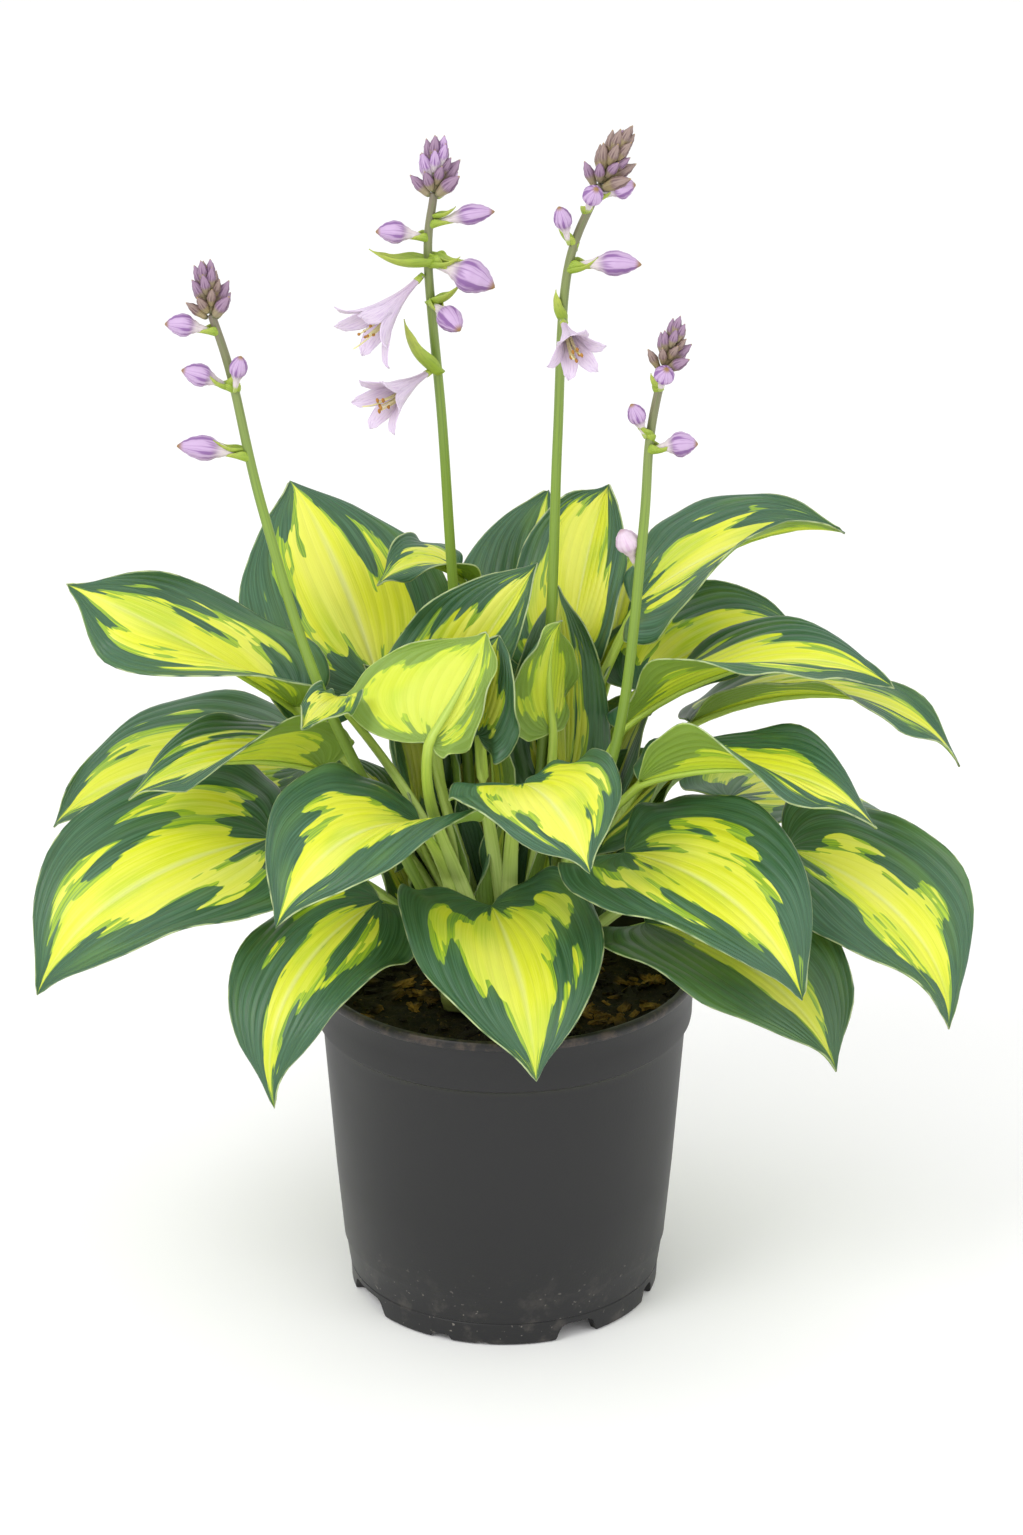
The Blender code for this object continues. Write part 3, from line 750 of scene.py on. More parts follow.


# %% [markdown]
# ## All the leaves
#
# Each row gives the ring on the crown where the stalk stands, its direction in
# degrees, the width of the green margin in millimetres and how much painted
# shade darkens the leaf. Then comes the blade: base, tip, half widths, arch, the
# fold in degrees of the left and the right half (near the base, near the tip),
# the size of the two lobes, and the bends that aren't the usual: sweep, roll,
# curl, wave and the wave's phase.

# %% Leaf rows
LEAVES = {
    "front_centre": (
        31, -92, 19, 0, (-6, -48, 222), (15, -132, 171), (48, 46), 16,
        (12, 0), (12, 0), (1.7, 1.7), dict(wave=2, phase=0.5)),
    "front_low_left": (
        31, -124, 25, 0.05, (-59, -42, 222), (-107, -115, 149), (37, 32), 24,
        (5, 0), (-20, -5), (0.9, 1), dict(sweep=-6, phase=1.0)),
    "left_mid": (
        23, -146, 24, 0, (-39, -52, 266), (-104, -128, 247), (48, 40), 20,
        (0, 0), (42, 0), (1.5, 1.2), dict(sweep=-4, roll=-18)),
    "far_left_big": (
        31, 186, 27, 0, (-111, -12, 241), (-220, -75, 188), (56, 50), 24,
        (22, 18), (0, 0), (1.5, 0.7), dict(roll=-12, curl=-5, wave=4, phase=2.0)),
    "left_upper_mid": (
        23, 164, 15, 0.05, (-87, 4, 271), (-177, -40, 273), (36, 34), 14,
        (5, 0), (80, 15), (1.2, 0.8), dict(roll=-15)),
    "left_low_back": (
        31, 160, 19, 0.05, (-100, 58, 248), (-220, 28, 230), (52, 40), 22,
        (5, 0), (0, 0), (1.4, 0.8), dict(roll=-20, curl=-5, wave=4, phase=1.0)),
    "left_up_big": (
        23, 146, 20, 0, (-100, 12, 300), (-206, -4, 368), (36, 48), 5,
        (5, 5), (78, -10), (1.1, 0.4), dict(roll=-42, wave=4, phase=0.6)),
    "back_left_tall": (
        23, 112, 26, 0, (-60, 50, 294), (-106, 116, 378), (54, 62), 8,
        (5, 5), (0, 0), (1.2, 1.2), {}),
    "inner_left_tip": (
        15, 208, 5, 0.1, (-78, -28, 321), (-94, -60, 317), (10, 15), 5,
        (10, 0), (30, 0), (0.4, 0.5), dict(roll=-20, wave=2)),
    "centre_small": (
        15, 104, 15, 0.1, (-19, 70, 344), (-61, 48, 348), (26, 22), 12,
        (0, 0), (40, 20), (1.4, 1), dict(roll=-20, wave=2)),
    "centre_cup": (
        15, -122, 9, 0, (-34, -54, 308), (-8, -30, 354), (54, 16), 2,
        (-16, -5), (60, 40), (1.5, 0.8), dict(roll=176, wave=2)),
    "centre_left_cup": (
        8, 200, 15, 0.1, (-33, 4, 296), (16, 12, 373), (22, 36), 6,
        (40, 30), (10, 10), (0.8, 1.4), dict(roll=62)),
    "centre_inner": (
        8, -80, 14, 0.15, (-12, -24, 300), (-2, -18, 348), (26, 26), 4,
        (25, 15), (35, 20), (1.3, 1.3), dict(roll=30, phase=0.6)),
    "centre_top": (
        8, -5, 9, 0.05, (22, -10, 296), (27, -14, 354), (20, 32), 4,
        (60, 50), (0, 0), (0.8, 1.1), dict(roll=20)),
    "right_upright": (
        15, 30, 16, 0.4, (30, 16, 256), (26, 40, 351), (22, 30), 6,
        (15, 15), (10, 10), (1, 1), dict(wave=2)),
    "back_centre_left": (
        23, 88, 40, 0.05, (12, 66, 294), (22, 128, 369), (21, 42), 8,
        (15, 15), (15, 15), (0.6, 1.3), {}),
    "back_centre_right": (
        15, 66, 11, 0, (32, 58, 307), (52, 114, 377), (28, 36), 8,
        (30, 30), (30, 30), (0.8, 1.1), {}),
    "back_right_dark": (
        23, 60, 40, 0.1, (52, 80, 296), (71, 128, 342), (32, 40), 8,
        (20, 20), (20, 20), (1.2, 1.3), {}),
    "right_up_big": (
        23, 43, 22, 0, (63, 40, 341), (162, 24, 384), (38, 40), 15,
        (5, 65), (5, 5), (0.8, 0.7), dict(roll=24, wave=4)),
    "right_rear_big": (
        23, 24, 18, 0, (64, 38, 298), (150, 54, 316), (22, 44), 18,
        (-10, 0), (8, 5), (0.8, 1.6), dict(roll=16)),
    "right_front_big": (
        23, 4, 19, 0, (56, -8, 298), (183, -36, 328), (34, 48), 22,
        (52, 0), (0, 12), (-0.9, 1.2), dict(roll=4, wave=4)),
    "right_far": (
        31, 6, 17, 0, (89, 10, 293), (217, -15, 280), (24, 44), 26,
        (48, 5), (0, 0), (-0.7, 1), dict(wave=4)),
    "right_mid_lower": (
        15, -46, 19, 0, (64, -38, 282), (173, -74, 273), (33, 42), 20,
        (75, 0), (0, 0), (-0.5, 1), dict(roll=10, wave=4)),
    "right_big_front": (
        31, -52, 24, 0, (57, -56, 253), (137, -133, 213), (44, 50), 20,
        (0, 0), (22, 18), (1.3, 1.4), dict(roll=4, wave=4)),
    "right_low": (
        31, -34, 42, 0.35, (67, -48, 213), (155, -112, 166), (42, 55), 18,
        (5, 5), (24, 20), (1.1, 1.3), dict(roll=2, wave=4)),
    "far_right_big": (
        31, -14, 26, 0, (136, -15, 237), (211, -68, 167), (42, 46), 24,
        (0, 0), (24, 20), (0.8, 1.5), dict(roll=2, wave=4)),
    "centre_front_small": (
        15, -80, 12, 0, (9, -70, 294), (39, -140, 280), (38, 38), 12,
        (10, 0), (10, 0), (1.8, 1.8), dict(roll=8, wave=2)),
    "back_low_left": (
        31, 130, 20, 0.15, (-60, 74, 214), (-118, 128, 152), (50, 50), 22,
        (5, 0), (5, 0), (1.5, 1.5), dict(curl=-5, wave=4)),
    "back_low_centre": (
        31, 96, 20, 0.15, (-8, 66, 190), (-2, 138, 124), (48, 46), 20,
        (5, 0), (5, 0), (1.5, 1.5), dict(curl=-5, wave=4, phase=1.5)),
    "back_low_right": (
        31, 66, 20, 0.15, (52, 78, 214), (94, 128, 150), (44, 42), 22,
        (5, 0), (5, 0), (1.3, 1.3), dict(curl=-5, wave=4, phase=0.7)),
    "back_side_right": (
        31, 36, 20, 0.15, (112, 64, 230), (194, 108, 178), (46, 46), 24,
        (5, 0), (5, 0), (1.3, 1.3), dict(curl=-5, wave=4, phase=2.0)),
}

# %% Make the leaves
for count, (key, row) in enumerate(LEAVES.items()):
    name = "leaf_" + key
    hand_over(leaf(name, *row[:4], row[4:], count + 1), name)
print("leaves:", len(LEAVES))


# %% [markdown]
# ## The crown
#
# The crown is where all stalks meet. It is a low lumpy mound of old leaf
# bases: a tube drawn in to a dome.

# %% Crown
CROWN_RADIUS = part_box("crown")[1][0] / MM
CROWN_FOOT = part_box("crown")[0][2] / MM
MOUND_SHAPE = [(0, 0.96), (0.5, 0.98), (0.8, 0.7), (1, 0.25)]


def crown_centre(u):
    return Vector((0, 0, CROWN_FOOT + (CROWN_TOP - CROWN_FOOT + 5) * u))


def crown_radius(u, angle):
    lumps = 1 + 0.05 * math.sin(9 * angle) + 0.03 * math.sin(14 * angle + 5 * u)
    return (CROWN_RADIUS - 1) * lumps * between(MOUND_SHAPE, u) * 0.94


crown = tube_from_grid(
    "crown_mound", 72, 16, crown_centre, crown_radius, lambda u: Vector((1, 0, 0))
)
coat(crown, streaked(
    "crown_scales", (0.20, 0.22, 0.07), (0.42, 0.47, 0.13), (0.10, 0.09, 0.04),
    turn=0.4, roughness=0.6,
))

# %% [markdown]
# Young leaves, still folded upright, fill the middle between the big stalks.
# They belong to the crown, so they join its mound. They are small and half
# hidden, so their grid is coarser.

# %% Young leaves
# Ring, direction, base, tip, half widths, arch, fold, wave and its phase.
YOUNG = [
    (12, 120, (-20, 30, 226), (-48, 46, 318), (27, 27), 8, 35, 3, 0),
    (12, 50, (20, 20, 222), (34, 30, 322), (26, 26), 8, 35, 3, 1.0),
    (6, 100, (-5, 10, 218), (-14, 14, 306), (24, 24), 6, 40, 3, 2.0),
    (14, 45, (34, 40, 232), (60, 58, 326), (28, 28), 8, 30, 3, 0.5),
    (14, 160, (-42, 12, 240), (-68, 30, 314), (25, 25), 8, 30, 3, 1.5),
    (16, 90, (4, 34, 196), (8, 60, 296), (36, 36), 10, 20, 4, 0),
    (16, 120, (-30, 42, 200), (-62, 68, 288), (36, 34), 10, 20, 4, 0.8),
    (16, 55, (40, 42, 202), (80, 64, 290), (36, 34), 10, 20, 4, 1.6),
    (9, 200, (-17, 4, 186), (-36, 16, 262), (17, 17), 4, 45, 2, 0),
    (9, 10, (16, 0, 186), (33, 6, 262), (17, 17), 4, 45, 2, 0.7),
    (16, 10, (48, 10, 216), (94, 20, 262), (27, 27), 10, 10, 3, 0.4),
    (14, 14, (46, 12, 230), (104, 26, 268), (28, 28), 10, 10, 3, 1.7),
    (16, 170, (-50, 18, 222), (-96, 26, 266), (27, 27), 10, 10, 3, 1.1),
    (20, 20, (44, 20, 190), (84, 36, 230), (26, 26), 10, 10, 3, 0.4),
    (20, 160, (-44, 20, 190), (-82, 40, 232), (26, 26), 10, 10, 3, 1.1),
    (9, 270, (0, -10, 184), (3, -10, 256), (14, 14), 4, 50, 2, 1.4),
]
shoots = [crown]
for k, (ring, degrees, base, tip, halves, arch, fold, wave, phase) in enumerate(YOUNG):
    folds = (fold, fold)
    row = (base, tip, halves, arch, folds, folds, (1, 1), dict(wave=wave, phase=phase))
    # The 0.45 is painted shade that darkens the young leaves deep in the middle.
    young = leaf(f"young_leaf_{k}", ring, degrees, 15, 0.45, row, 40 + k, YOUNG_GRID)
    shoots.append(joined(young, f"young_leaf_{k}_piece"))
hand_over(shoots, "crown")


# %% [markdown]
# ## Flower stems
#
# A flower stem is a smooth rod, a little thinner towards its top. Small
# boat-shaped bracts clasp it where a bud's stalk leaves. Stems are tubes laid
# through a few points, and a bract is a pointed sheet with cupped sides.

# %% A bract
BRACT_SHAPE = [(0, 0.55), (0.35, 1.0), (0.7, 0.72), (1, 0.02)]


def bract(name, foot, tip, width, cup=0.55, bow=0.12):
    foot, tip = Vector(foot), Vector(tip)
    chord = tip - foot
    ahead = chord.normalized()
    inner = Vector((0, 0, 1)) - ahead * ahead.z
    inner = inner.normalized() if inner.length > 0.1 else Vector((0, -1, 0))
    side = ahead.cross(inner)

    def place(u, v):
        half = width / 2 * between(BRACT_SHAPE, u)
        angle = v * (1.9 - 1.1 * u) * (0.5 + cup)
        middle = foot + chord * u - inner * (bow * chord.length * math.sin(math.pi * u))
        out, rise = math.sin(angle) * half, (1 - math.cos(angle)) * half
        return middle + side * out + inner * rise

    piece = sheet_from_grid(name, 10, 14, place)
    thicken(piece, 0.5)
    close_up(piece, 0.005)
    coat(piece, bract_green)
    return piece


# %% Stem rows
# Seat on the crown, and the points the stem runs through.
STEMS = {
    "scape_left": ((-14.5, 1), [
        (-45, -10, 225), (-86.5, -22, 322), (-112, -21, 412), (-125, -17, 474), (-134, -15, 505),
    ]),
    "scape_centre_left": ((-4.5, 7.5), [
        (-14, 20, 225), (-24, 37, 345), (-29, 23, 439), (-35, 15, 520), (-32, 15, 554),
    ]),
    "scape_centre_right": ((4, 8), [
        (14, 5, 225), (22, 6, 342), (25, -4, 440), (29, -10, 522), (44, -10, 565),
    ]),
    "scape_right": ((15.5, -1.5), [
        (30, -12, 215), (54, -32, 304), (64, -40, 405), (67, -36, 452), (73, -35, 486),
    ]),
}

# Foot, tip and width of each bract, stem by stem.
BRACTS = {
    "scape_left": [
        ((-118, -17, 438), (-134, -22, 446), 6),
        ((-126, -17, 468), (-136, -21, 478), 5),
        ((-126, -18, 470), (-122, -23, 481), 5),
    ],
    "scape_centre_left": [
        ((-33, 13, 519), (-62, 6, 529), 11),
        ((-32, 13, 466), (-46, 4, 496), 11),
        ((-34, 13, 518), (-20, 7, 525), 7),
        ((-34, 15, 499), (-20, 8, 512), 8),
        ((-35, 15, 523), (-17, 9, 523), 6),
        ((-33, 15, 541), (-22, 10, 548), 5),
    ],
    "scape_centre_right": [
        ((27, -8, 497), (24, -12, 515), 6),
        ((29, -10, 522), (43, -14, 531), 6),
        ((30, -10, 536), (25, -14, 550), 6),
        ((40, -11, 556), (50, -14, 563), 5),
    ],
    "scape_right": [
        ((67, -36, 444), (80, -40, 452), 6),
        ((67, -36, 452), (60, -40, 462), 6),
        ((71, -36, 474), (67, -40, 484), 5),
    ],
}


# %% [markdown]
# ## Buds
#
# A closed bud is a spindle: a thin green stalk, a swelling with six shallow
# furrows where the petals' edges meet, and a blunt darker tip. It is laid from
# a tube whose radius changes along it. Towards a stem's end the buds are small
# and packed in a spiral, so the same bud is set again and again round the axis.

# %% Bud colours
def bud_finish(name, foot, neck, body, tip, stripe):
    made, tree, look = blank(name)
    across, along = spread(tree)
    grain = grained(tree, stretched(tree, across, along, 20.0, 2.0), 1.0, 2.0)
    colour = mixed(tree, ease(tree, grain, 0.42, 0.60), body, stripe)
    colour = mixed(tree, ease(tree, along, 0.34, 0.54), neck, colour)
    colour = mixed(tree, ease(tree, along, 0.12, 0.20), foot, colour)
    colour = mixed(tree, ease(tree, along, 0.88, 0.97), colour, tip)
    furrow = waves(tree, across, 6)
    colour = mixed(tree, ease(tree, furrow, 0.0, 0.22, 0.4, 0.0), colour, body)
    tree.links.new(colour, look["Base Color"])
    look["Roughness"].default_value = 0.5
    lit_through(look, 0.1, (1.0, 0.7, 1.0), 0.002)
    raised(tree, look, 0.3, 0.0003, grain)
    return made


bud_lilac = bud_finish(
    "bud_lilac", foot=(0.40, 0.50, 0.12), neck=(0.70, 0.62, 0.64),
    body=(0.25, 0.12, 0.33), tip=(0.30, 0.17, 0.05), stripe=(0.54, 0.38, 0.60),
)
bud_dusky = bud_finish(
    "bud_dusky", foot=(0.22, 0.22, 0.10), neck=(0.34, 0.28, 0.17),
    body=(0.17, 0.09, 0.17), tip=(0.36, 0.26, 0.11), stripe=(0.34, 0.22, 0.33),
)
bud_brown = bud_finish(
    "bud_brown", foot=(0.17, 0.16, 0.08), neck=(0.36, 0.29, 0.15),
    body=(0.15, 0.09, 0.09), tip=(0.40, 0.28, 0.10), stripe=(0.32, 0.23, 0.20),
)
bud_pale = bud_finish(
    "bud_pale", foot=(0.40, 0.48, 0.14), neck=(0.70, 0.56, 0.62),
    body=(0.62, 0.44, 0.60), tip=(0.45, 0.30, 0.36), stripe=(0.72, 0.58, 0.70),
)

# %% A bud
BUD_SHAPE = [
    (0, 0.2), (0.12, 0.30), (0.28, 0.38), (0.40, 0.62), (0.54, 0.96),
    (0.64, 1.0), (0.78, 0.80), (0.90, 0.46), (0.96, 0.22), (1, 0.04),
]
SMALL_BUD = [(0, 0.4), (0.22, 0.74), (0.48, 1.0), (0.72, 0.72), (0.9, 0.3), (1, 0.04)]


def bud(name, foot, tip, width, finish, shape=BUD_SHAPE, grid=(24, 26), bow=1.5):
    foot, tip = Vector(foot), Vector(tip)
    rise = Vector((0, 0, bow))
    line = (foot, foot.lerp(tip, 1 / 3) + rise, foot.lerp(tip, 2 / 3) + rise, tip)

    def radius(u, angle):
        furrows = 1 + 0.05 * smooth(0.3, 0.6, u) * abs(math.sin(3 * angle))
        return width / 2 * between(shape, u) * furrows

    piece = tube_from_grid(name, *grid, lambda u: bezier(*line, u), radius)
    coat(piece, finish)
    return piece


# %% Make the stems; the right one bears a small pale bud low down
STEM_STEPS = 300


def stem_radius(u, angle):
    return (3.0 - 1.1 * u) * (1 + 0.02 * math.cos(5 * angle))


stem_line = []
for name, (seat, points) in STEMS.items():
    line = [Vector((*seat, CROWN_TOP - SUNK))] + [Vector(p) for p in points]
    stem_line += [through(line, k / STEM_STEPS) for k in range(STEM_STEPS + 1)]
    rod = tube_from_grid(name + "_rod", 18, 70, lambda u: through(line, u), stem_radius)
    coat(rod, stem_green)
    pieces = [rod]
    for k, (foot, tip, width) in enumerate(BRACTS[name]):
        pieces.append(bract(f"{name}_bract_{k}", foot, tip, width))
    if name == "scape_right":
        pieces.append(bud("low_pale_bud", (62, -36, 388), (54, -38, 408), 11, bud_pale))
    hand_over(pieces, name)
print("flower stems:", len(STEMS))


# %% Single buds
BUDS = {
    "bud_left_lowest": ((-120, -15, 437), (-151, -22, 443), 11),
    "bud_left_second": ((-129, -15, 470), (-148, -20, 479), 10),
    "bud_left_upright": ((-124, -23, 470), (-120, -27, 488), 8),
    "bud_left_third": ((-136, -15, 496), (-155, -20, 501), 10),
    "bud_centre_left_big": ((-32, 14, 519), (-4, 4, 511), 15),
    "bud_centre_left_front": ((-32, 10, 499), (-20, -8, 494), 11),
    "bud_centre_left_side": ((-37, 15, 532), (-59, 10, 536), 10),
    "bud_centre_left_upper": ((-31, 15, 539), (-4, 12, 545), 9),
    "bud_centre_right_low": ((33, -10, 526), (63, -16, 528), 11),
    "bud_centre_right_inner": ((28, -13, 538), (25, -18, 556), 8),
    "bud_centre_right_side": ((46, -11, 558), (60, -14, 565), 10),
    "bud_centre_right_front": ((38, -14, 553), (42, -24, 566), 9),
    "bud_right_low": ((70, -36, 446), (89, -40, 450), 11),
    "bud_right_inner": ((63, -39, 454), (58, -42, 470), 8),
    "bud_right_front": ((72, -40, 476), (74, -46, 488), 9),
}
SHEATH_LIFT = Vector((0, 0, 1.2))
for name, (foot, tip, width) in BUDS.items():
    foot, tip = Vector(foot), Vector(tip)
    behind = foot - (tip - foot) * 0.2
    start = min(stem_line, key=lambda at: (at - behind).length)
    foot = start.lerp(foot, 0.45)
    body = bud(name + "_body", foot, tip, width * 1.04, bud_lilac)
    low, high = start - SHEATH_LIFT * 1.5, foot.lerp(tip, 0.36) - SHEATH_LIFT
    sheath = bract(name + "_sheath", low, high, max(width * 0.6, 5), 0.9, -0.04)
    hand_over([body, sheath], name)
print("single buds:", len(BUDS))

# %% Packed buds at the stems' ends
GOLDEN_TURN = 2.4
LEAN = [(0, 0.75), (0.35, 0.45), (0.7, 0.3), (1, 0.02)]
SIZES = (0.74, 0.62, 0.8)
DUSKY = (bud_dusky, bud_brown, bud_dusky)
CLUSTERS = {
    "left": ((-134, -15, 504), (-136, -15, 533), 20, 20, DUSKY),
    "centre_left": ((-32, 15, 553), (-29, 15, 582), 22, 20, (bud_lilac, bud_dusky, bud_dusky)),
    "centre_right": ((44, -10, 564), (59, -10, 595), 21, 22, (bud_brown, bud_dusky, bud_brown)),
    "right": ((73, -35, 485), (82, -35, 511), 18, 18, DUSKY),
}
for key, (foot, tip, width, count, finishes) in CLUSTERS.items():
    name = "bud_cluster_" + key
    foot, tip = Vector(foot), Vector(tip)
    axis = tip - foot
    ahead = axis.normalized()
    ray_at = rays(ahead)
    core = tube_from_grid(
        name + "_core", 10, 8, lambda u: foot + axis * (u * 0.8), lambda u, angle: 2.2 - u
    )
    coat(core, bud_brown)
    pieces = [core]
    for k in range(count):
        t = k / (count - 1)
        ray = ray_at(GOLDEN_TURN * k)
        lean = between(LEAN, t)
        size = width * SIZES[k % 3] * (1.05 - 0.3 * t)
        start = foot + axis * (t * 0.66 - 0.1) + ray * 1.6
        end = start + (ahead * (1 - lean * 0.45) + ray * lean).normalized() * size
        past = (end - foot).dot(ahead) - axis.length * 0.985
        if past > 0:
            end -= ahead * past
        pieces.append(bud(
            f"{name}_{k}", start, end, size * 0.38, finishes[k % 3], SMALL_BUD, (14, 11), 0.3
        ))
    hand_over(pieces, name)
print("bud clusters:", len(CLUSTERS))


# %% [markdown]
# ## Open flowers
#
# A hosta flower is a lilac trumpet. Six petals are joined in its narrow tube
# and turn back at the mouth. Six thin pale stamens with brown ends lie in its
# lower half, with a longer style. Each petal is one cupped sheet.

# %% Petal, thread and anther finishes
petal_lilac = streaked(
    "petal", (0.64, 0.50, 0.66), (0.72, 0.60, 0.77), (0.42, 0.26, 0.54),
    turn=0.4, roughness=0.5, bump=0.3, thin=0.2,
)
filament_yellow = plain("filament", (0.82, 0.78, 0.38), 0.5)
anther_brown = plain("anther", (0.42, 0.19, 0.03), 0.7)

# %% A petal
TUBE_SHARE = 0.45  # of the petal's length is joined in the tube
TUBE_REACH = 0.62  # of the way to the mouth
TUBE_RADIUS = 4.4
LIP_SHAPE = [(0, 2.7), (0.2, 3.9), (0.45, 4.6), (0.75, 3.2), (0.93, 1.1), (1, 0.1)]
SLANTS = (0.9, 1.0, 0.94, 1.0, 0.88, 0.97)


def petal(name, k, foot, axis, ray, reach):
    ahead = axis.normalized()
    tangent = ahead.cross(ray)
    inner = 0.35 if k % 2 else 0.0
    flare = reach * SLANTS[k] - TUBE_RADIUS

    def place(u, v):
        if u < TUBE_SHARE:
            s = u / TUBE_SHARE
            far, out = s * TUBE_REACH, 1.3 + 3.1 * s**2.4
            half = out * math.tan(math.pi / 6) * 1.06
        else:
            s = (u - TUBE_SHARE) / (1 - TUBE_SHARE)
            far = TUBE_REACH + TUBE_REACH * math.sin(s * 1.5)
            out = TUBE_RADIUS + flare * s**1.2
            half = between(LIP_SHAPE, s) * (0.5 + reach / 36)
        cup = (1 - math.cos(v)) * half
        keel = 0.35 * math.exp(-((v / 0.12) ** 2)) * smooth(0.1, 0.5, u)
        ripple = 0.5 * math.sin(9 * u + k) * v * v * smooth(0.5, 0.8, u)
        ripple += cup * 0.4 * smooth(0.6, 1, u)
        out += keel - inner - cup * 0.8 * (1 - smooth(TUBE_SHARE, 0.9, u))
        return foot + axis * far + ahead * ripple + ray * out + tangent * (v * half)

    piece = sheet_from_grid(f"{name}_petal_{k}", 12, 30, place)
    thicken(piece, 0.35)
    close_up(piece, 0.002)
    coat(piece, petal_lilac)
    return piece


# %% A stamen; the last thread is the style, which has no anther
THREAD_LENGTHS = (0.98, 1.06, 0.94, 1.1, 1.0, 1.04, 1.3)


def anther_radius(u, angle):
    return 0.75 * math.sin(math.pi * (0.12 + 0.76 * u))


def stamen(name, k, foot, axis, ray, tangent):
    ahead = axis.normalized()
    drop = (Vector((0, 0, -1)) + ahead * ahead.z).normalized()
    is_style = k == len(THREAD_LENGTHS) - 1
    long = THREAD_LENGTHS[k]
    start = foot + axis * 0.3 + ray
    bent = foot + axis * (0.85 * long) + ray * 1.6 + drop * 3.0
    end = foot + axis * (1.12 * long) + ray * 2.6 + drop * (-1.8 if is_style else 0.8)
    line = (start, start.lerp(bent, 0.6), bent, end)
    thread = tube_from_grid(
        f"{name}_thread_{k}", 6, 14, lambda u: bezier(*line, u), lambda u, angle: 0.5 - 0.12 * u
    )
    coat(thread, filament_yellow)
    if is_style:
        return [thread]
    anther = tube_from_grid(
        f"{name}_anther_{k}", 8, 6, lambda u: end + tangent * ((u - 0.5) * 2.6),
        anther_radius, lambda u: ahead,
    )
    coat(anther, anther_brown)
    return [thread, anther]


# %% A flower
def flower(name, foot, mouth, reach):
    foot, mouth = Vector(foot), Vector(mouth)
    axis = mouth - foot
    ahead = axis.normalized()
    ray_at = rays(ahead)
    pieces = []
    for k in range(6):
        pieces.append(petal(name, k, foot, axis, ray_at(math.pi * (k + 0.5) / 3), reach))
    tangent = ahead.cross(ray_at(math.pi * 5.5 / 3))
    for k in range(len(THREAD_LENGTHS)):
        ray = ray_at(2 * math.pi * k / len(THREAD_LENGTHS))
        pieces += stamen(name, k, foot, axis, ray, tangent)
    stalk = tube_from_grid(
        name + "_stalk", 10, 8,
        lambda u: foot + axis * (0.16 * u - 0.04), lambda u, angle: 1.35 + 0.5 * u,
    )
    coat(stalk, bract_green)
    hand_over(pieces + [stalk], name)


flower("flower_left", (-38, 13, 514), (-60, -6, 496), 20)
flower("flower_lower_left", (-34, 13, 468), (-54, -11, 462), 16)
flower("flower_centre", (27, -16, 501), (32, -36, 494), 15)


# %% [markdown]
# ## The pot
#
# A nursery pot is formed from thin dark plastic. It has a rounded lip, a plain
# band, a small step, a tapering wall and a notched foot. It is turned the way
# a lathe would: the outline is extruded point by point from one vertex and
# spun round the axis. Cutters then take out the notches and the drain holes.

# %% Pot outline
UNDERSIDE = [(0, 9.8), (60, 9.8), (71.0, 9.8), (71.8, 9.0), (71.4, 0.2), (71.8, 0)]
FOOT = [
    (74.6, 0), (75.8, 0.5), (76.2, 1.6), (76.6, 9.4),
    (76.9, 11.4), (76.5, 11.8), (76.5, 12.2), (77.1, 12.6),
]
OUTER_WALL = [(79.0, 26.0), (79.7, 27.0), (83.2, 66), (88.6, 139)]
BAND = [
    (89.4, 143.2), (90.6, 144.4), (91.6, 145.2), (91.9, 146.8), (92.2, 157), (92.3, 165.6),
]
LIP = [
    (92.9, 166.8), (94.2, 167.4), (94.9, 168.2), (95.1, 169.4), (94.9, 170.8), (94.2, 171.7),
    (93.2, 172), (91.6, 171.8), (90.6, 171.0), (90.3, 169.4),
]
INNER_WALL = [(90.2, 160), (89.6, 147), (88.2, 143.4), (86.8, 139), (81.4, 66)]
FLOOR = [(75.2, 13.4), (72, 12), (0, 12)]
OUTLINE = UNDERSIDE + FOOT + OUTER_WALL + BAND + LIP + INNER_WALL + FLOOR
deselect()
bpy.ops.mesh.primitive_plane_add(size=2 * MM, location=(0, 0, 0))
pot = bpy.context.object
pot.name = pot.data.name = "pot_piece"
bpy.ops.object.mode_set(mode="EDIT")
bpy.ops.mesh.select_all(action="SELECT")
bpy.ops.mesh.merge(type="CENTER")
bpy.ops.transform.translate(value=(0, 0, OUTLINE[0][1] * MM))
for (r0, z0), (r1, z1) in zip(OUTLINE, OUTLINE[1:]):
    move = ((r1 - r0) * MM, 0, (z1 - z0) * MM)
    bpy.ops.mesh.extrude_region_move(TRANSFORM_OT_translate={"value": move})
bpy.ops.mesh.select_all(action="SELECT")
bpy.ops.mesh.spin(steps=160, angle=2 * math.pi, center=(0, 0, 0), axis=(0, 0, 1))
bpy.ops.mesh.select_all(action="SELECT")
bpy.ops.mesh.remove_doubles(threshold=0.02 * MM)
bpy.ops.mesh.normals_make_consistent(inside=False)
bpy.ops.object.mode_set(mode="OBJECT")
print("pot faces:", len(pot.data.polygons))


# %% Notches and drain holes
def cut(cutter):
    hole = pot.modifiers.new("hole", "BOOLEAN")
    hole.operation = "DIFFERENCE"
    hole.solver = "EXACT"
    hole.object = cutter
    apply(pot, hole)
    bpy.data.objects.remove(cutter)


# Direction in degrees, width and height of each notch.
NOTCHES = (
    (-153, 30, 9), (-114, 10, 3), (-98, 6, 1.5), (-62, 20, 9),
    (-22, 11, 8), (20, 18, 9), (70, 20, 9), (125, 20, 9),
)
NOTCH_RING, NOTCH_DEPTH = 74.5, 9
DRAINS, DRAIN_RING, DRAIN_RADIUS = 5, 48, 6

